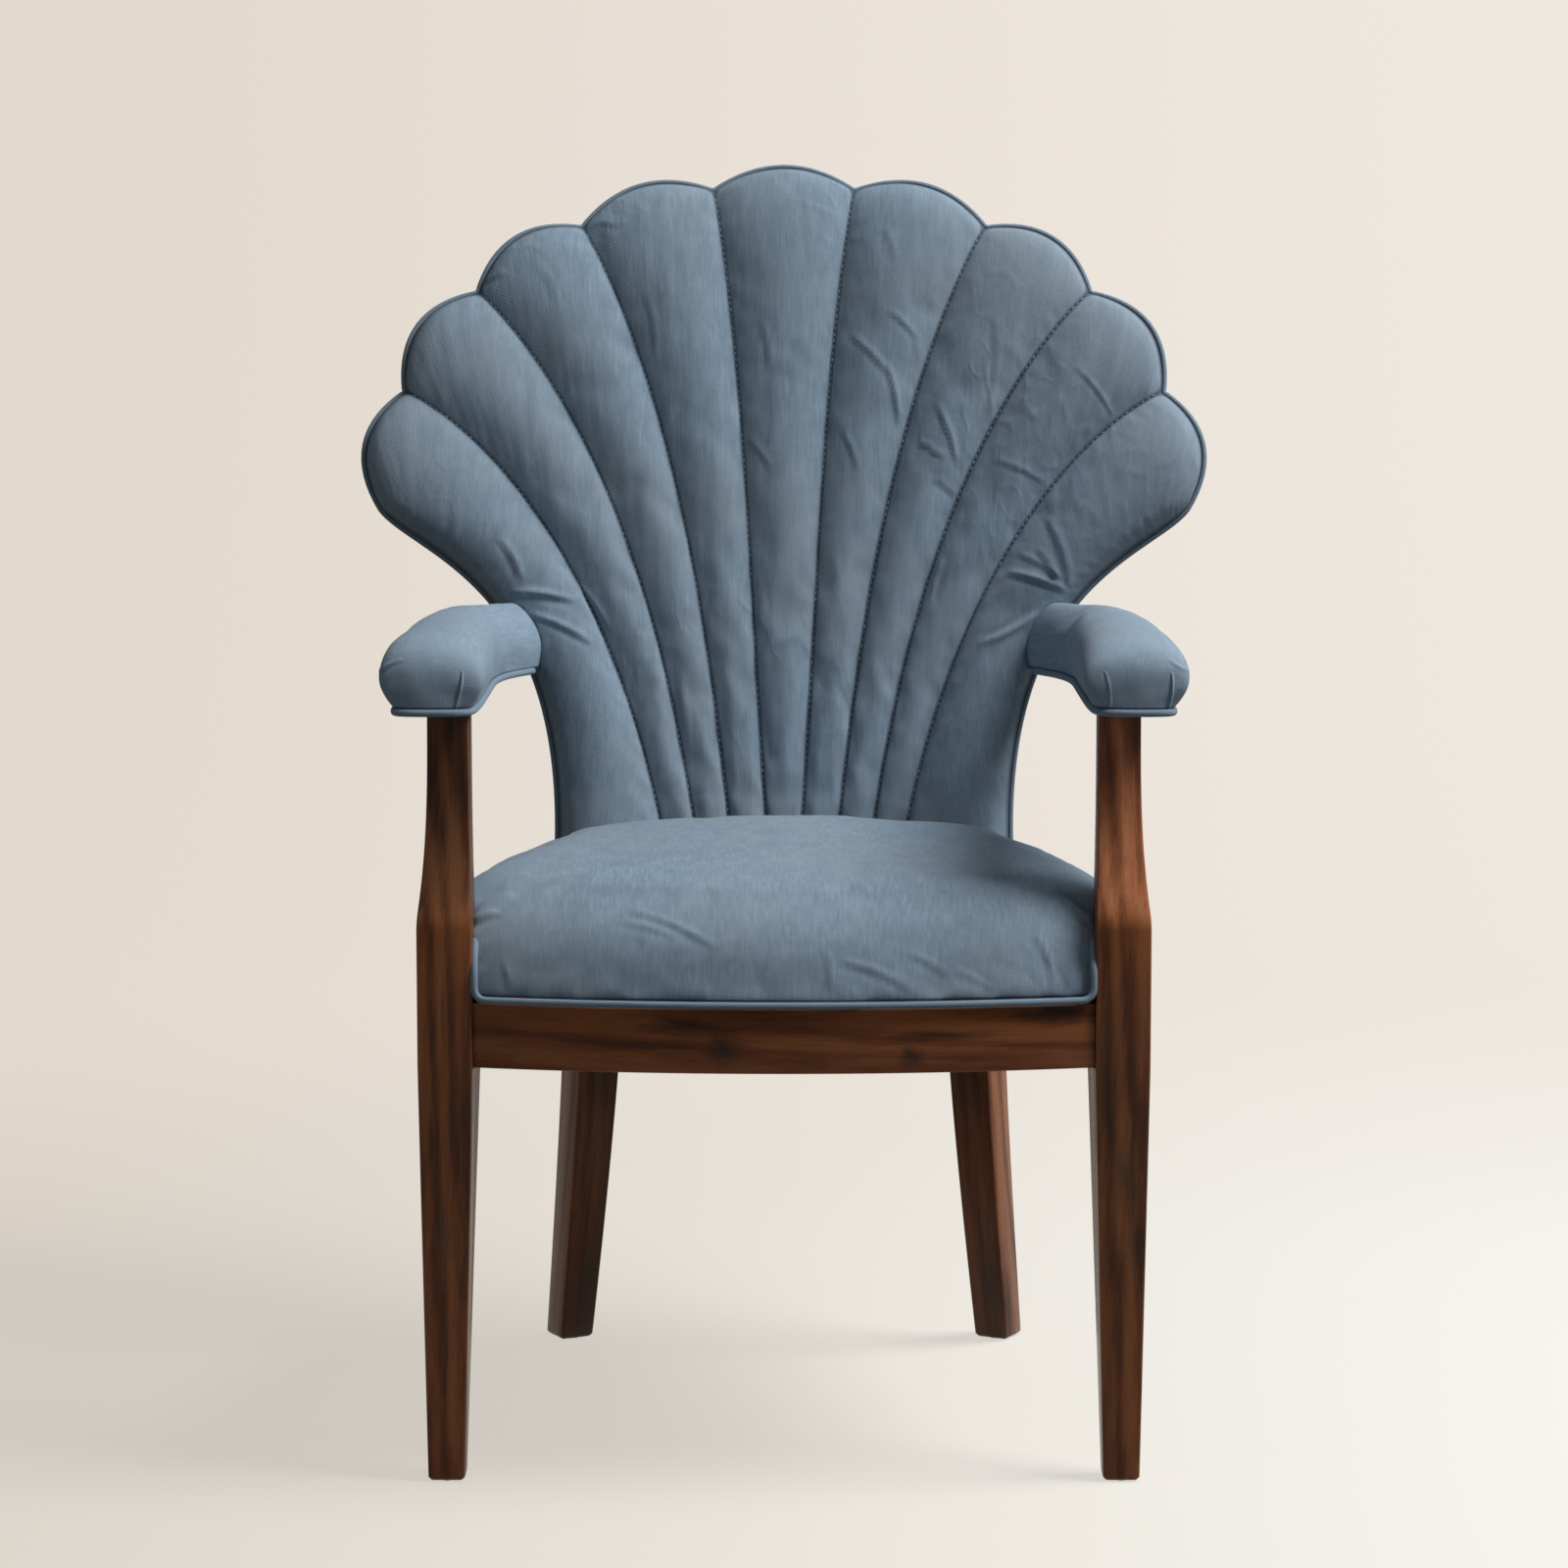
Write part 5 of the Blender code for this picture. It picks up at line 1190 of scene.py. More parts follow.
def rearPlace(channel, s, v):
    spot = channelPlace(channel, s, v, fanRear["inset"])[0]
    rounding = edgeRise(1.0 - v, fanRear["rounding"])
    rounding *= edgeRise(neckShare(channel, s), fanRear["neckRounding"])
    full = between(fanRear["depth"], fanRear["topDepth"], v)
    depth = between(fanRear["lip"], full, rounding)
    return fanPlace(spot.x * (1.0 - depth / fan["wrap"]), spot.y, -depth)


def makeFanRear():
    inner = [column for column in channelColumns(fanRear["steps"]) if 0 < column[0] < lobes - 1]
    left = [(0, step) for step in fanRear["neckSteps"]]
    right = [(lobes - 1, 0.0)] + [(lobes - 1, 1.0 - step) for step in reversed(fanRear["neckSteps"])]
    columns = left + inner + right
    rows = crowdedRows(fanRear)
    points, cloth = [], []
    for channel, s in columns:  # the turned-in bottom edge
        spot = channelPlace(channel, s, 0.0, fanRear["inset"])[0]
        turned = min(1.0, fanRear["returnEase"] * neckShare(channel, s))
        tight = fanRear["depth"] - fanRear["return"] * turned
        deep = between(fanRear["lip"], tight, edgeRise(neckShare(channel, s), fanRear["neckRounding"]))
        points.append(fanPlace(spot.x * (1.0 - deep / fan["wrap"]), fanRear["hem"], -deep))
        cloth.append((spot.x, -fanRear["return"], 0.0))
    for v in rows:
        for channel, s in columns:
            points.append(rearPlace(channel, s, v))
            spot = channelPlace(channel, s, v, fanRear["inset"])[0]
            cloth.append((spot.x, spot.y, 0.0))
    piece = meshPiece("fanBackRear", points, gridFaces(len(columns), len(rows) + 1))
    storeVectors(piece.data, "cloth", cloth)
    # no painted seam shade on the outside back
    storeValues(piece.data, "crown", [1.0] * len(points))
    with editing(piece) as bm:
        bmesh.ops.reverse_faces(bm, faces=bm.faces)
    subdivide(piece, 1)
    addUnevenness(piece, fanRear["unevenness"])
    giveThickness(piece, fanRear["cloth"])
    finishPiece(piece, blueLinen, ("back_cover_rear",))


makeFanRear()
print("outside back covered")


# Seat: a crowned pad that fits round the front posts

seat = {
    "edge": 0.0815,
    "crown": 0.0200,
    "rounding": 14.0,
    "sideRounding": 34.0,
    "toBack": 0.0370,
    "rearDrop": 0.0060,
    "crownPower": 2.15,
    "sideLift": 0.0085,         # the sides stand fuller behind the posts
    "sideBulge": 0.0050,        # and fuller still halfway to the back
    "sideFront": 0.2835,        # half widths over the side rails
    "sideRear": 0.1866,
    "rearDepth": 0.4796,
    "columns": 72,
    "rows": 60,
    "voxel": 0.006,
    "room": -0.0022,            # the pad is squeezed against the posts
    "postRoom": {"front": -0.06, "outside": 0.03, "heights": (0.30, 0.56)},
    "padding": {"pressure": 4.0, "bending": 1.5, "frames": 18, "most": 0.0040},
    "held": 0.008,              # the cloth is fixed up to this height over the deck
    "unevenness": ((0.075, 0.0014, (1.0, 1.0, 1.0), 31.0), (0.022, 0.0003, (1.0, 1.0, 1.0), 37.0)),
    "sideCloth": (-0.070, -0.010),      # where the weave turns from the top's to the sides'
    # painted shade along the piping, from and to these heights over the deck
    "paintedSeamShade": (0.003, 0.010),
    "fill": 0.9,
    "foldStrength": 0.75,
    "creases": (
        (-0.122, 0.457, -0.055, 0.433, 0.0026, 0.0017),
        (-0.128, 0.449, -0.084, 0.439, 0.0024, 0.0012),
        (0.044, 0.422, 0.101, 0.399, 0.0026, 0.0017),
        (0.097, 0.427, 0.129, 0.409, 0.0024, 0.0014),
        (0.033, 0.430, 0.036, 0.399, 0.0022, 0.0013),
        (0.199, 0.438, 0.212, 0.400, 0.0024, 0.0018),
        (0.131, 0.414, 0.164, 0.398, 0.0024, 0.0010),
        (-0.246, 0.446, -0.226, 0.454, 0.0022, 0.0050),
        (-0.243, 0.455, -0.215, 0.466, 0.0022, 0.0018),
        (-0.221, 0.420, -0.214, 0.394, 0.0020, 0.0012),
        (0.246, 0.448, 0.222, 0.464, 0.0022, 0.0036),
        (0.243, 0.440, 0.222, 0.450, 0.0022, 0.0014),
    ),
}


def seatSideX(y):  # half the seat's width, over the side rails
    share = (y - chair["legDepth"]) / (seat["rearDepth"] - chair["legDepth"])
    return np.minimum(seat["sideFront"], between(seat["sideFront"], seat["sideRear"], share))


def seatPlace(side, share):
    edge = edgeRise(share, seat["rounding"]) * edgeRise(1.0 - abs(side), seat["sideRounding"])
    inside = 1.0 - (1.0 - share) ** 2
    lift = seat["sideLift"] * (1.0 - (1.0 - share) ** 6)
    lift += seat["sideBulge"] * (4.0 * share * (1.0 - share)) ** 2
    full = seat["edge"] + lift * abs(side) ** 4
    z = chair["deck"] + full * edge + seat["crown"] * (1.0 - abs(side) ** seat["crownPower"]) * inside
    z -= seat["rearDrop"] * edge * share ** 4
    near = railFront(seat["sideFront"])
    far = backDepth(seat["sideRear"], z, seat["toBack"])
    x = side * seatSideX(between(near, far, share))
    y = between(railFront(x), backDepth(x, z, seat["toBack"]), share)
    return x, y, z


def crowded(share):  # steps gather at both ends
    return 0.5 - 0.5 * math.cos(math.pi * share)


def makeSeat():
    columns, rows = seat["columns"] + 1, seat["rows"] + 1
    deck = chair["deck"]
    top, under = [], []
    for j in range(rows):
        share = 1.0 - math.cos(math.pi / 2 * j / seat["rows"])
        for i in range(columns):
            x, y, z = seatPlace(2.0 * crowded(i / seat["columns"]) - 1.0, share)
            top.append((x, y, z))
            under.append((x, y - (z - deck) * math.tan(fan["rake"]) * share, deck - chair["joint"]))
    piece = meshPiece("seatPad", top, gridFaces(columns, rows))
    with editing(piece) as bm:
        base = [bm.verts.new(point) for point in under]
        for a, b, c, d in gridFaces(columns, rows):
            bm.faces.new((base[a], base[d], base[c], base[b]))
        bmesh.ops.bridge_loops(bm, edges=[edge for edge in bm.edges if edge.is_boundary])
        bmesh.ops.recalc_face_normals(bm, faces=bm.faces)
    notchPosts(piece)
    voxels = piece.modifiers.new("even cloth", "REMESH")
    voxels.mode = "VOXEL"
    voxels.voxel_size = seat["voxel"]
    bakeModifiers(piece)
    held = np.nonzero(getPlaces(piece.data)[:, 2] < deck + seat["held"])[0]
    inflate(piece, seat["padding"], held)
    subdivide(piece, 1)
    addUnevenness(piece, seat["unevenness"])
    addCreases(piece, seat["creases"], seat["foldStrength"])
    x, y, z = getPlaces(piece.data).T
    nearSide = ease(np.abs(x) - seatSideX(y), *seat["sideCloth"])
    across = x - nearSide * np.sign(x) * z
    along = y + (1.0 - nearSide) * z
    storeVectors(piece.data, "cloth", np.stack((across, along, 0 * across), axis=1))
    # painted shade: a thin dark band just above the seat's piping
    low, high = seat["paintedSeamShade"]
    storeValues(piece.data, "crown", ease(z, deck + low, deck + high))
    turnOutward(piece)
    finishPiece(piece, blueLinen, ("seat_cover", "seat_foam"))


def notchPosts(piece):  # the pad is cut out round both front posts
    front, rear = seat["postRoom"]["front"], chair["legDepth"] + seat["room"]
    tools = []
    for name, side in sides:
        inner = side * (legInner - seat["room"])
        outer = side * (chair["legOuter"] + seat["postRoom"]["outside"])
        corners = [(inner, front), (outer, front), (outer, rear), (inner, rear)]
        bm = loftRings([[(x, y, z) for x, y in corners] for z in seat["postRoom"]["heights"]])[0]
        tool = meshFrom(f"postRoom_{name}", bm)
        cut = piece.modifiers.new(f"room for {name} post", "BOOLEAN")
        cut.operation = "DIFFERENCE"
        cut.solver = "EXACT"
        cut.object = tool
        tools.append(tool)
    bakeModifiers(piece)
    for tool in tools:
        bpy.data.objects.remove(tool, do_unlink=True)


makeSeat()
print("seat padded")


# Piping and stitches follow paths, so geometry nodes make them

def newGeometryTree(name, sizes):
    tree = bpy.data.node_groups.new(name, "GeometryNodeTree")
    sockets = {"Geometry": "NodeSocketGeometry", **sizes}
    for label, kind in sockets.items():
        tree.interface.new_socket(label, in_out="INPUT", socket_type=kind)
    tree.interface.new_socket("Geometry", in_out="OUTPUT", socket_type="NodeSocketGeometry")
    return tree, addNode(tree, "NodeGroupInput")


def evenPath(tree, given, spacing):
    path = addNode(tree, "GeometryNodeMeshToCurve", {"Mesh": (given, "Geometry")})
    inputs = {"Curve": (path, "Curve"), "Length": (given, spacing)}
    return (addNode(tree, "GeometryNodeResampleCurve", inputs, mode="LENGTH"), "Curve")


def keepLength(tree, curve, label):  # the length along a curve, captured for the cloth's coordinates
    kept = addNode(tree, "GeometryNodeCaptureAttribute", domain="POINT")
    kept.capture_items.new("FLOAT", label)
    along = addNode(tree, "GeometryNodeSplineParameter")
    feed(tree, kept, {"Geometry": curve, label: (along, "Length")})
    return kept


def finishTree(tree, made, material):
    solid = addNode(tree, "GeometryNodeRealizeInstances", {"Geometry": made})
    inputs = {"Geometry": (solid, "Geometry"), "Material": material}
    cover = addNode(tree, "GeometryNodeSetMaterial", inputs)
    addNode(tree, "NodeGroupOutput", {"Geometry": (cover, "Geometry")})
    return tree


def makePipingTree():
    tree, given = newGeometryTree("pipingCord", {
        "Cord radius": "NodeSocketFloat",
        "Step": "NodeSocketFloat",
        "Cover": "NodeSocketMaterial",
    })
    lengths = keepLength(tree, evenPath(tree, given, "Step"), "Run")
    inputs = {"Resolution": 12, "Radius": (given, "Cord radius")}
    circle = addNode(tree, "GeometryNodeCurvePrimitiveCircle", inputs, mode="RADIUS")
    rounds = keepLength(tree, (circle, "Curve"), "Round")
    tube = addNode(tree, "GeometryNodeCurveToMesh", {
        "Curve": (lengths, "Geometry"), "Profile Curve": (rounds, "Geometry"), "Fill Caps": True,
    })
    place = addNode(tree, "ShaderNodeCombineXYZ", {"X": (rounds, "Round"), "Y": (lengths, "Run")})
    stored = addNode(tree, "GeometryNodeStoreNamedAttribute", data_type="FLOAT_VECTOR", domain="POINT")
    feed(tree, stored, {"Geometry": (tube, "Mesh"), "Name": "cloth", "Value": (place, "Vector")})
    return finishTree(tree, (stored, "Geometry"), (given, "Cover"))


def makeStitchTree():
    tree, given = newGeometryTree("seamStitches", {
        "Pitch": "NodeSocketFloat",
        "Stitch size": "NodeSocketVector",
        "Wander": "NodeSocketFloat",
        "Thread": "NodeSocketMaterial",
    })
    bead = addNode(tree, "GeometryNodeMeshUVSphere", {"Segments": 6, "Rings": 4, "Radius": 0.5})
    inputs = {"Geometry": (bead, "Mesh"), "Scale": (given, "Stitch size")}
    shaped = addNode(tree, "GeometryNodeTransform", inputs)
    inputs = {0: (-1.0, -1.0, -1.0), 1: (1.0, 1.0, 1.0), "Seed": 7}
    wander = addNode(tree, "FunctionNodeRandomValue", inputs, data_type="FLOAT_VECTOR")
    inputs = {0: (wander, 0), "Scale": (given, "Wander")}
    loose = addNode(tree, "ShaderNodeVectorMath", inputs, operation="SCALE")
    tangent = addNode(tree, "GeometryNodeInputTangent")
    aim = vectorMath(tree, "ADD", (tangent, "Tangent"), (loose, 0))
    turn = addNode(tree, "FunctionNodeAlignRotationToVector", {"Vector": aim}, axis="X")
    stitches = addNode(tree, "GeometryNodeInstanceOnPoints", {
        "Points": evenPath(tree, given, "Pitch"),
        "Instance": (shaped, "Geometry"),
        "Rotation": (turn, "Rotation"),
    })
    return finishTree(tree, (stitches, "Instances"), (given, "Thread"))


pipingTree = makePipingTree()
stitchTree = makeStitchTree()


def alongPaths(name, paths, tree, values):
    points, edges = [], []
    for path in paths:
        start = len(points)
        points += path
        edges += [(start + i, start + i + 1) for i in range(len(path) - 1)]
    piece = meshPiece(name, points, [], edges)
    maker = piece.modifiers.new(tree.name, "NODES")
    maker.node_group = tree
    for socket in tree.interface.items_tree:
        if socket.name in values:
            maker[socket.identifier] = values[socket.name]
    bakeModifiers(piece)
    return piece


piping = {
    "radius": 0.0029,
    "fanRadius": 0.0024,
    "step": 0.0030,
    "outside": 0.0012,
    "armDrop": 0.0016,          # the cord's middle, under the arm's edge
    "armEnd": 0.030,            # the inner end stops short of the back
    "fanRows": 60,
    "scallopSteps": 16,
}


def makePiping(name, path, node, radius=piping["radius"]):
    values = {"Cord radius": radius, "Step": piping["step"], "Cover": pipingLinenPaintedShade}
    piece = alongPaths(name, [path], pipingTree, values)
    turnOutward(piece)
    finishPiece(piece, pipingLinenPaintedShade, (node,))


def fanOutline():
    rows = [j / piping["fanRows"] for j in range(piping["fanRows"] + 1)]
    steps = piping["scallopSteps"]
    out = piping["fanRadius"] - piping["radius"]
    left = [fanBorder(0, v, out) for v in rows]
    top = [channelPlace(channel, i / steps, 1.0, out)[0] for channel in range(lobes) for i in range(steps)]
    right = [fanBorder(lobes, v, out) for v in reversed(rows)]
    return [fanPlace(spot.x, spot.y, 0.0) for spot in left[:-1] + top + right]


def armPipingPath(side):
    turns = [turn for x, y, turn in armStations()] + [arm["turn"]]
    inner, outer = [], []
    for turn, ring in zip(turns, armRings()):
        away = Vector((math.cos(turn), math.sin(turn), 0.0)) * piping["outside"]
        inner.append(Vector(ring[0]) - away)
        outer.append(Vector(ring[-1]) + away)
    inner[-1] -= (inner[-1] - inner[-2]).normalized() * piping["armEnd"]
    nose = Vector((0.0, -piping["outside"], 0.0))
    path = list(reversed(inner[1:])) + [inner[0] + nose, outer[0] + nose] + outer[1:]
    for _ in range(4):  # rounded as the pad's own cage is
        soft = [path[0]]
        for before, point, after in zip(path, path[1:], path[2:]):
            soft += [(before + point) / 2, (before + 6 * point + after) / 8]
        path = soft + [(path[-2] + path[-1]) / 2, path[-1]]
    return [(side * point.x, point.y, point.z - piping["armDrop"]) for point in path]


seatPiping = {
    "drop": 0.0033,
    "height": 0.3884,
    "tail": 0.026,
    "corner": 0.009,
    "rise": 0.437,
    "lean": 0.026,
    "atPost": 0.0016,
    "steps": {"front": 61, "corner": 6, "rise": 14, "side": 24},
}


def seatFrontPath():
    reach = legInner - seatPiping["atPost"]
    corner, height = seatPiping["corner"], seatPiping["height"]
    flat = reach - corner
    steps = seatPiping["steps"]

    def onRail(x, z, lean=0.0):
        return (x, railFront(x) - seatPiping["drop"] + lean, z)

    front = [onRail(x, height) for x in np.linspace(-flat, flat, steps["front"])]
    bend = []
    for step in range(1, steps["corner"] + 1):
        angle = math.pi / 2 * step / steps["corner"]
        bend.append(onRail(flat + corner * math.sin(angle), height + corner * (1.0 - math.cos(angle))))
    for step in range(1, steps["rise"] + 1):
        share = step / steps["rise"]
        z = between(height + corner, seatPiping["rise"], share)
        bend.append(onRail(reach, z, seatPiping["lean"] * share ** 3))
    left = [(-x, y, z) for x, y, z in reversed(bend)]
    return left + front + bend


def seatSidePath(side):
    rear = backDepth(seat["sideRear"], seatPiping["height"], seat["toBack"]) + seatPiping["tail"]
    depths = np.linspace(chair["legDepth"] + seatPiping["atPost"], rear, seatPiping["steps"]["side"])
    return [(side * (seatSideX(y) + seatPiping["drop"]), y, seatPiping["height"]) for y in depths]


makePiping("fanPiping", fanOutline(), "back_welt", piping["fanRadius"])
makePiping("seatPiping_front", seatFrontPath(), "seat_welt_front")
for name, side in sides:
    makePiping(f"seatPiping_{name}", seatSidePath(side), f"seat_welt_{name}")
    makePiping(f"armPiping_{name}", armPipingPath(side), f"arm_welt_{name}")
print("piping sewn on")

stitching = {
    "pitch": 0.0056,
    "size": (0.0036, 0.0010, 0.0010),
    "wander": 0.12,
    "lift": 0.0004,
    "run": (0.04, 0.985),       # from the seat to the scallops
    "points": 120,
}


def makeStitches():
    paths = []
    for index in range(1, lobes):
        path = []
        for v in np.linspace(*stitching["run"], stitching["points"]).tolist():
            spot = fanBorder(index, v, fanPad["inset"])
            path.append(fanPlace(spot.x, spot.y, seamHeight(v) + stitching["lift"]))
        paths.append(path)
    values = {
        "Pitch": stitching["pitch"],
        "Stitch size": stitching["size"],
        "Wander": stitching["wander"],
        "Thread": threadFinish,
    }
    piece = alongPaths("seamStitches", paths, stitchTree, values)
    finishPiece(piece, threadFinish, ())


makeStitches()
print("channels stitched")


# Timber: legs and rails with rounded edges and grain that follows each piece

def roundEdges(bm, edges, width):
    bmesh.ops.bevel(
        bm, geom=edges, offset=width, segments=3, profile=0.5, affect="EDGES", clamp_overlap=True
    )
    bmesh.ops.recalc_face_normals(bm, faces=bm.faces)


def roundLongEdges(bm, loops):
    edges = []
    for lower, upper in zip(loops, loops[1:]):
        edges += [bm.edges.get((a, b)) for a, b in zip(lower, upper)]
    for loop in (loops[0], loops[-1]):
        edges += [bm.edges.get((a, b)) for a, b in zip(loop, loop[1:] + loop[:1])]
    roundEdges(bm, edges, chair["edgeRound"])


def tuckedFoot(ring):  # the lowest ring, drawn in so that the foot ends rounded
    places = np.array(ring)
    middle = places.mean(axis=0)
    reach = np.linalg.norm(places[0] - middle)
    places = middle + (places - middle) * (1.0 - chair["footRound"] / reach)
    places[:, 2] = chair["legBase"]
    return places.tolist()


def storeGrain(piece, centreAt, turn):
    # The grain's own coordinates: across the timber, and along it as Z.
    places = getPlaces(piece.data)
    grain, wornAndHighlit = [], []
    for x, y, z in places:
        cx, cy, halfX, halfY = centreAt(z)
        a = (x - cx) * math.cos(turn) - (y - cy) * math.sin(turn)
        b = (x - cx) * math.sin(turn) + (y - cy) * math.cos(turn)
        grain.append((a, b, z))
        # wear and a painted highlight on the legs' corners
        wornAndHighlit.append(float(ease(abs(a) / halfX * abs(b) / halfY, *chair["wornAndHighlitCorner"])))
    storeVectors(piece.data, "grain", grain)
    storeValues(piece.data, "wornAndHighlit", wornAndHighlit)


def finishTimber(piece, material, node):
    finishPiece(piece, material, (node,), sharpAngle=chair["sharpAngle"])


def makeLeg(name, node, rings, centreAt, turn, material):
    bm, loops = loftRings([tuckedFoot(rings[0])] + rings)
    roundLongEdges(bm, loops)
    piece = meshFrom(name, bm)
    storeGrain(piece, centreAt, turn)
    finishTimber(piece, material, node)


def frontLegFaces(z):  # inner, outer, front and rear faces on the right side
    outer, inner, front, rear = chair["legOuter"], legInner, 0.0, chair["legDepth"]
    if z < chair["railBottom"]:
        share = (chair["railBottom"] - z) / chair["railBottom"]
        inner = between(inner, chair["legOuter"] - chair["footInset"] - chair["legFoot"], share)
        outer -= chair["footInset"] * share
        front += chair["footSetback"] * share
        rear = between(rear, chair["footSetback"] + chair["legFoot"], share)
    if z > chair["creaseHeight"]:
        rise = min(1.0, (z - chair["creaseHeight"]) / (chair["postTop"] - chair["creaseHeight"]))
        share = 1.0 - (1.0 - rise) ** chair["postEase"]
        post = chair["legOuter"] - chair["postInset"]
        outer = between(outer, post, share)
        inner = between(inner, post - chair["postWidth"], share)
        front = chair["postSetback"] * share
        rear = between(rear, chair["postSetback"] + chair["postDepth"], share)
    return inner, outer, front, rear


def frontLegSection(z):  # the same, with the knee rounded
    shifts = (-1.0, -0.5, 0.0, 0.5, 1.0)
    faces = [frontLegFaces(z + shift * chair["kneeRound"]) for shift in shifts]
    return [sum(values) / len(shifts) for values in zip(*faces)]


def legTurn(z):  # below the rails the inner face turns towards the front
    return chair["legTurn"] * z / chair["railBottom"] if z < chair["railBottom"] else 0.0


def makeFrontLeg(name, side, material):
    foot, shoulder = chair["legBase"] + chair["footRound"], chair["railBottom"] - chair["shoulder"]
    crease, top = chair["creaseHeight"], chair["postTop"]
    heights = [foot, *chair["legRings"], shoulder, chair["railBottom"], chair["kneeRing"]]
    knee, post = chair["kneeSteps"], chair["postSteps"]
    heights += [crease + chair["kneeRound"] * step / knee for step in range(-knee, knee + 1)]
    heights += [between(crease, top, step / post) for step in range(2, post + 1)]
    rings = []
    for z in heights:
        inner, outer, front, rear = frontLegSection(z)
        corners = ((inner, front), (outer, front), (outer, rear), (inner - legTurn(z), rear))
        rings.append([(side * x, y, z) for x, y in corners])

    def centreAt(z):
        inner, outer, front, rear = frontLegSection(z)
        return side * (inner + outer) / 2, (front + rear) / 2, (outer - inner) / 2, (rear - front) / 2

    makeLeg(f"frontLeg_{name}", f"front_leg_{name}", rings, centreAt, 0.0, material)


rearLeg = {
    "spread": 0.170,
    "size": 0.037,
    "foot": 0.0318,
    "swell": 0.003,             # the legs are wider below the rails
    "turn": math.radians(28.0),
    "knee": 0.300,
    "splay": 0.0244,
    "splayPower": 1.3,
    "kick": 0.108,
    "top": 0.720,
    "topSize": 0.024,
    "taper": 2.4,               # the hidden upright slims quickly above the rails
    "flare": 0.055,
    "behind": 0.0102,           # the upright, behind the panel's face
    "steps": (20, 10),          # below the knee and above the rails
}


def rearLegPlace(z):  # centre and width of the square section
    knee = rearLeg["knee"]
    if z < knee:
        share = (knee - z) / knee
        x, y, size = rearLegPlace(knee)
        x += rearLeg["splay"] * share ** rearLeg["splayPower"]
        y += rearLeg["kick"] * share ** 2 - (knee - z) * math.tan(fan["rake"])
        return x, y, between(size, rearLeg["foot"], share)
    share = max(0.0, (z - chair["railTop"]) / (rearLeg["top"] - chair["railTop"]))
    size = between(rearLeg["size"], rearLeg["topSize"], min(1.0, rearLeg["taper"] * share))
    size += rearLeg["swell"] * (1.0 - float(ease(z, chair["railBottom"], chair["railTop"])))
    x = rearLeg["spread"] + rearLeg["flare"] * share ** 2
    corner = size / 2 * (math.cos(rearLeg["turn"]) + math.sin(rearLeg["turn"]))
    return x, backDepth(x, z, -(rearLeg["behind"] + corner)), size


def makeRearLeg(name, side, material):
    foot = chair["legBase"] + chair["footRound"]
    below, above = rearLeg["steps"]
    heights = [between(foot, rearLeg["knee"], step / below) for step in range(below + 1)]
    heights.append(chair["railBottom"])
    heights += [between(chair["railTop"], rearLeg["top"], step / above) for step in range(above + 1)]
    cosine, sine = math.cos(rearLeg["turn"]), math.sin(rearLeg["turn"])
    rings = []
    for z in heights:
        x, y, size = rearLegPlace(z)
        ring = []
        for cornerX, cornerY in ((-0.5, -0.5), (0.5, -0.5), (0.5, 0.5), (-0.5, 0.5)):
            a, b = size * cornerX, size * cornerY
            ring.append((side * (x + a * cosine + b * sine), y - a * sine + b * cosine, z))
        rings.append(ring)

    def centreAt(z):
        x, y, size = rearLegPlace(z)
        return side * x, y, size / 2, size / 2

    turn = side * rearLeg["turn"]
    makeLeg(f"rearLeg_{name}", f"rear_leg_{name}", rings, centreAt, turn, material)


def isLevel(edge):
    return abs(edge.verts[0].co.z - edge.verts[1].co.z) < 1e-6


def makeRail(name, outline, along, centreAt, material):
    # A rail from its plan, with its grain along the rail.
    low, high = chair["railBottom"], chair["railTop"]
    bm = loftRings([[(x, y, z) for x, y in outline] for z in (low, high)])[0]
    sharp = math.radians(chair["roundedAngle"])
    edges = [edge for edge in bm.edges if edge.calc_face_angle(0.0) > sharp and isLevel(edge)]
    roundEdges(bm, edges, chair["railRound"])
    piece = meshFrom(f"seatRail_{name}", bm)
    grain, wornAndHighlit = [], []
    middle = (low + high) / 2
    half = middle - low
    for x, y, z in getPlaces(piece.data):
        grain.append((y - centreAt(x, y), z - middle, along(x, y)))
        # wear and a painted highlight on the rails' edges
        wornAndHighlit.append(float(ease(abs(z - middle), half - chair["wornAndHighlitEdge"], half)))
    storeVectors(piece.data, "grain", grain)
    storeValues(piece.data, "wornAndHighlit", wornAndHighlit)
    finishTimber(piece, material, f"seat_rail_{name}")


def makeRails(frontFinish, sideFinish):
    thick, joint = chair["railThickness"], chair["joint"]
    end = legInner - joint
    bow = [(x, railFront(x)) for x in np.linspace(-end, end, chair["bowSteps"])]
    inside = chair["railSetback"] + thick
    plan = bow + [(end, inside), (-end, inside)]
    makeRail("front", plan, lambda x, y: x, lambda x, y: railFront(x), frontFinish)
    rearX, rearY, rearSize = rearLegPlace((chair["railBottom"] + chair["railTop"]) / 2)
    front = (chair["legOuter"] - chair["sideInset"], chair["legDepth"] + joint)
    rear = (rearX + rearSize / 2 - joint, rearY + rearSize / 8)
    for name, side in sides:
        plan = [(front[0] - thick, front[1]), front, rear, (rear[0] - thick, rear[1])]
        outline = [(side * x, y) for x, y in plan]
        makeRail(name, outline, lambda x, y: y, lambda x, y: y - abs(x), sideFinish)
    near = rearY - thick / 2
    plan = [(-rearX, near), (rearX, near), (rearX, near + thick), (-rearX, near + thick)]
    makeRail("rear", plan, lambda x, y: x, lambda x, y: near, sideFinish)


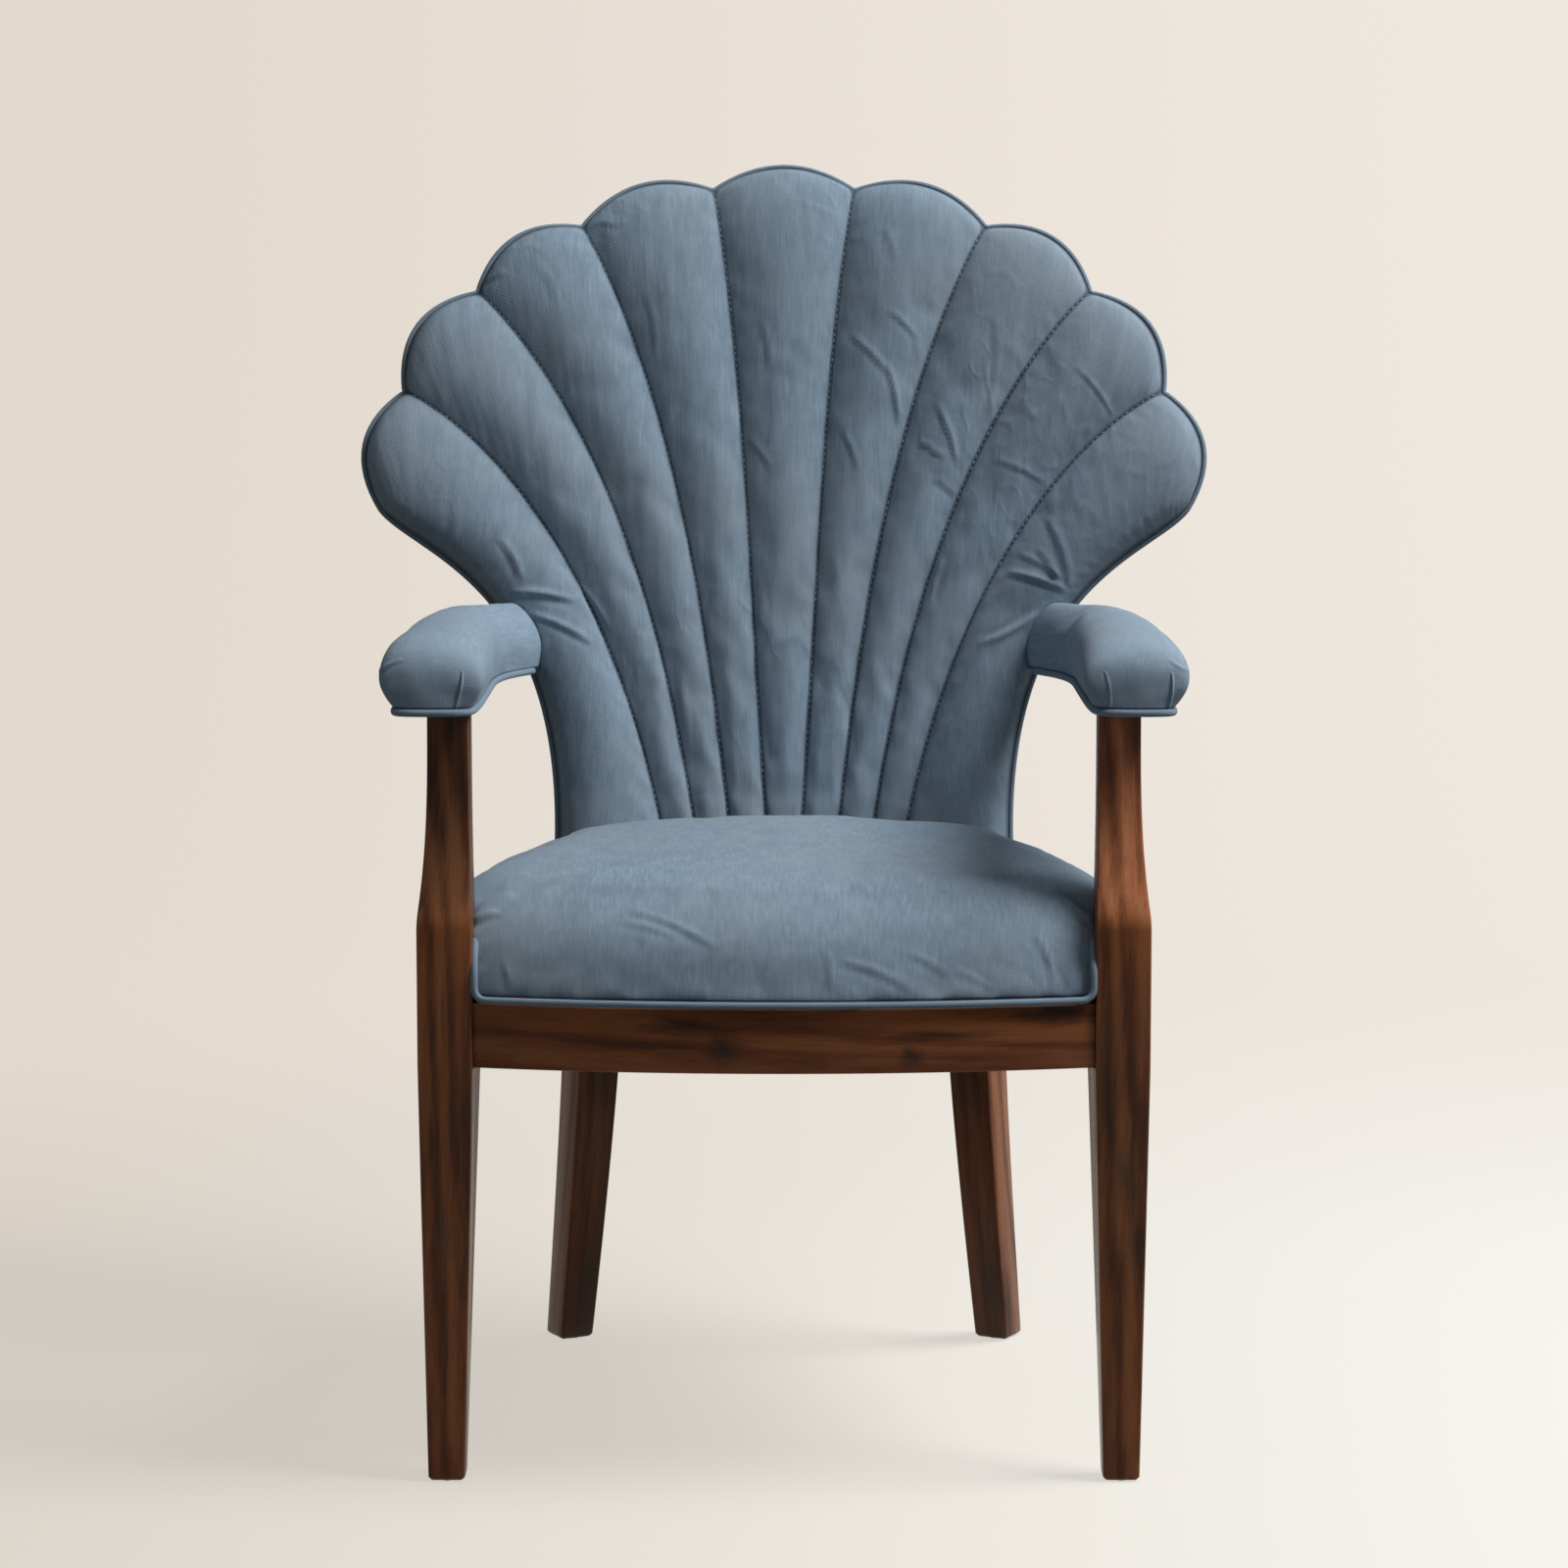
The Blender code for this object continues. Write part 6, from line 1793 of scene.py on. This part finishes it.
knots = {
    "frontRail": (
        ((0.0, -0.006, -0.048), (70.0, 62.0, 62.0)),
        ((0.0, 0.012, -0.075), (70.0, 90.0, 22.0)),
        ((0.0, -0.012, 0.099), (70.0, 95.0, 85.0)),
        ((0.0, 0.004, 0.120), (70.0, 190.0, 22.0)),
        ((0.0, 0.020, 0.215), (70.0, 80.0, 26.0)),
    ),
    "legLeft": (
        ((0.016, -0.020, 0.300), (95.0, 50.0, 30.0)),
        ((-0.004, -0.020, 0.200), (150.0, 60.0, 16.0)),
    ),
    "legRight": (
        ((-0.012, -0.020, 0.318), (70.0, 45.0, 13.0)),
        ((0.004, -0.020, 0.245), (75.0, 50.0, 27.0)),
        ((0.014, -0.020, 0.190), (90.0, 50.0, 20.0)),
    ),
    "rear": (
        ((0.0, -0.015, 0.270), (60.0, 60.0, 16.0)),
        ((0.006, -0.016, 0.050), (60.0, 60.0, 12.0)),
    ),
}
# painted light and shade: the right post is drawn lighter, the left post darker
legFinishLeft = makeWalnut("walnutLegLeft", knots["legLeft"], 1.0, 0.015, (0.45, 0.55, 0.84))
legFinishRight = makeWalnut("walnutLegRight", knots["legRight"], 0.9, 0.025, (2.0, 2.3, 3.4))
rearFinish = makeWalnut("walnutRearLegs", knots["rear"], 1.1, 0.090)
railFinish = makeWalnut("walnutFrontRail", knots["frontRail"], 0.85, 0.105)
plainFinish = makeWalnut("walnutSideRails", (), 1.0, 0.0)
makeFrontLeg("left", -1, legFinishLeft)
makeFrontLeg("right", 1, legFinishRight)
for name, side in sides:
    makeRearLeg(name, side, rearFinish)
makeRails(railFinish, plainFinish)
print("timber shaped")


# Dust cover: cambric drawn under the seat, with a slight sag

dustCover = {
    "inset": 0.008,
    "sag": 0.004,
    "tautness": 6,              # the higher, the nearer to its edges the cloth starts to sag
    "thickness": 0.0008,
    "columns": 40,
    "rows": 36,
    "reach": (0.285, 0.1882),   # half the widths of the frame at the front legs and at the rear
    "cut": (0.277, 0.180),      # half the widths of the flat sheet
    "atLegs": 0.001,
    "unevenness": ((0.05, 0.0007, (1.0, 1.0, 1.0), 41.0),),
}


def makeDustCover():
    low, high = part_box("dust_cover")
    near, far = low.y - frontFace, high.y - frontFace
    top = chair["railBottom"] - chair["joint"]
    columns, rows, taut = dustCover["columns"], dustCover["rows"], dustCover["tautness"]
    points = []
    for j in range(rows + 1):
        y = between(near, far, j / rows)
        share = (y - chair["legDepth"]) / (seat["rearDepth"] - chair["legDepth"])
        reach = between(*dustCover["reach"], max(0.0, share)) - dustCover["inset"]
        if y < chair["legDepth"] + dustCover["atLegs"]:
            reach = min(reach, legInner - dustCover["atLegs"])
        for i in range(columns + 1):
            side = 2.0 * i / columns - 1.0
            middle = (1.0 - side ** taut) * (1.0 - (2.0 * j / rows - 1.0) ** taut)
            points.append((side * reach, y, top - dustCover["sag"] * middle))
    piece = meshPiece("dustCover", points, gridFaces(columns + 1, rows + 1))
    addUnevenness(piece, dustCover["unevenness"])
    giveThickness(piece, dustCover["thickness"])
    turnOutward(piece)
    finishPiece(piece, blackCambric, ("dust_cover",))


makeDustCover()
print("dust cover drawn under")


# Finishes of the solids that stay

def dress(names, material):
    for name, node in nodes.items():
        if any(name.startswith(start) for start in names):
            node.data.materials.clear()
            node.data.materials.append(material)


dress(("corner_block", "back_cross_rail", "back_lower_rail"), innerWood)
dress(("back_panel",), plywoodFace)
dress(("corner_screw", "panel_screw", "arm_bolt"), zincPlate)
dress(("glide",), glideNylon)
dress(("webbing",), juteWebbing)
print("hidden frame dressed")


# Stage: a pale sweep, soft light and the photograph's camera

stageLook = {
    # painted light: the wall and floor are drawn darker on the left and lighter on the right, where the key
    # lamp stands
    "wallLeft": (0.760, 0.695, 0.615),      # the backdrop as the camera sees it
    "wallRight": (0.865, 0.805, 0.745),
    "floorLeft": (0.735, 0.675, 0.600),
    "floorRight": (0.885, 0.865, 0.815),
    "wallReach": 1.5,                       # the tones change this far to the left and right
    "floorReach": 0.9,
    "horizon": (0.4, 2.4),                  # depths between which the floor's tone becomes the wall's
    "litFloor": (0.5, 1.8),                 # and the lamps' share of it ends
    "bounce": 0.22,                         # the pale floor's light on the chair
    "share": 0.22,                          # how much of the floor's look comes from the lamps
    "key": (264.0, (2.58, -0.56, 3.88), 2.4),
    "fill": (6.0, (-3.0, -2.2, 1.5), 2.2),
    "world": ((0.94, 0.97, 1.0), 0.15),
    "aim": (0.0, 0.0, 0.5),
}
sweepShape = {"half": 7.0, "front": -7.0, "back": 2.6, "radius": 1.6, "top": 6.0, "steps": 12}
photoCamera = {"lens": 103.05, "sensor": 36.0, "distance": 3.478, "height": 0.941, "pitch": 6.27}


def makeSweep():
    back, radius, half = sweepShape["back"], sweepShape["radius"], sweepShape["half"]
    profile = [(sweepShape["front"], 0.0), (0.0, 0.0), (back, 0.0)]
    for step in range(1, sweepShape["steps"] + 1):
        angle = math.pi / 2 * step / sweepShape["steps"]
        profile.append((back + radius * math.sin(angle), radius * (1.0 - math.cos(angle))))
    profile.append((back + radius, sweepShape["top"]))
    points = [(x, y, z) for y, z in profile for x in (-half, half)]
    sweep = meshPiece("paleSweep", points, gridFaces(2, len(profile)))
    sweep.data.shade_smooth()
    sweep.data.materials.append(makeSweepLook())


def makeSweepLook():  # the camera sees set tones, with painted light that is darker on the left and lighter on the right, and the chair is lit by the bounce
    material, tree, shader = newMaterial("paleSweep")
    axes = splitAxes(tree, objectPlace(tree))
    path = addNode(tree, "ShaderNodeLightPath")
    seen = 0.0
    for ray in ("Is Camera Ray", "Is Glossy Ray", "Is Transmission Ray"):
        seen = numberMath(tree, "MAXIMUM", seen, (path, ray))

    def paintedLightLeftToRight(name):
        reach = stageLook[f"{name}Reach"]
        share = remap(tree, (axes, 0), -reach, reach)
        return mixColours(tree, share, stageLook[f"{name}Left"], stageLook[f"{name}Right"])

    wall, floor = paintedLightLeftToRight("wall"), paintedLightLeftToRight("floor")
    look = mixColours(tree, remap(tree, (axes, 1), *stageLook["horizon"]), floor, wall)
    lit = remap(tree, (axes, 1), *stageLook["litFloor"], stageLook["share"], 0.0)
    shown = mixColours(tree, lit, origin, look)
    bounce = mixColours(tree, stageLook["bounce"], origin, look)
    glow = numberMath(tree, "MULTIPLY", seen, numberMath(tree, "SUBTRACT", 1.0, lit))
    feed(tree, shader, {
        "Base Color": mixColours(tree, seen, bounce, shown),
        "Roughness": 0.9,
        "Specular IOR Level": 0.0,
        "Emission Color": look,
        "Emission Strength": glow,
    })
    return material


def makeLamp(name, power, place, size):
    lamp = bpy.data.lights.new(name, "AREA")
    lamp.energy = power
    lamp.shape = "DISK"
    lamp.size = size
    holder = addObject(name, lamp)
    holder.location = place
    aim = Vector(stageLook["aim"]) - Vector(place)
    holder.rotation_mode = "QUATERNION"
    holder.rotation_quaternion = aim.to_track_quat("-Z", "Y")


def makeCamera():
    lens = bpy.data.cameras.new("camera")
    lens.sensor_width = photoCamera["sensor"]
    lens.lens = photoCamera["lens"]
    holder = addObject("camera", lens)
    holder.location = (0.0, frontFace - photoCamera["distance"], photoCamera["height"])
    holder.rotation_euler = (math.radians(90.0 - photoCamera["pitch"]), 0.0, 0.0)
    bpy.context.scene.camera = holder


makeSweep()
makeLamp("keyLamp", *stageLook["key"])
makeLamp("fillLamp", *stageLook["fill"])
makeCamera()
world = bpy.data.worlds.new("studio")
bpy.context.scene.world = world
world.use_nodes = True
sky = world.node_tree.nodes["Background"]
sky.inputs["Color"].default_value = (*stageLook["world"][0], 1.0)
sky.inputs["Strength"].default_value = stageLook["world"][1]
bpy.context.scene.view_settings.view_transform = "Standard"
print("stage set")
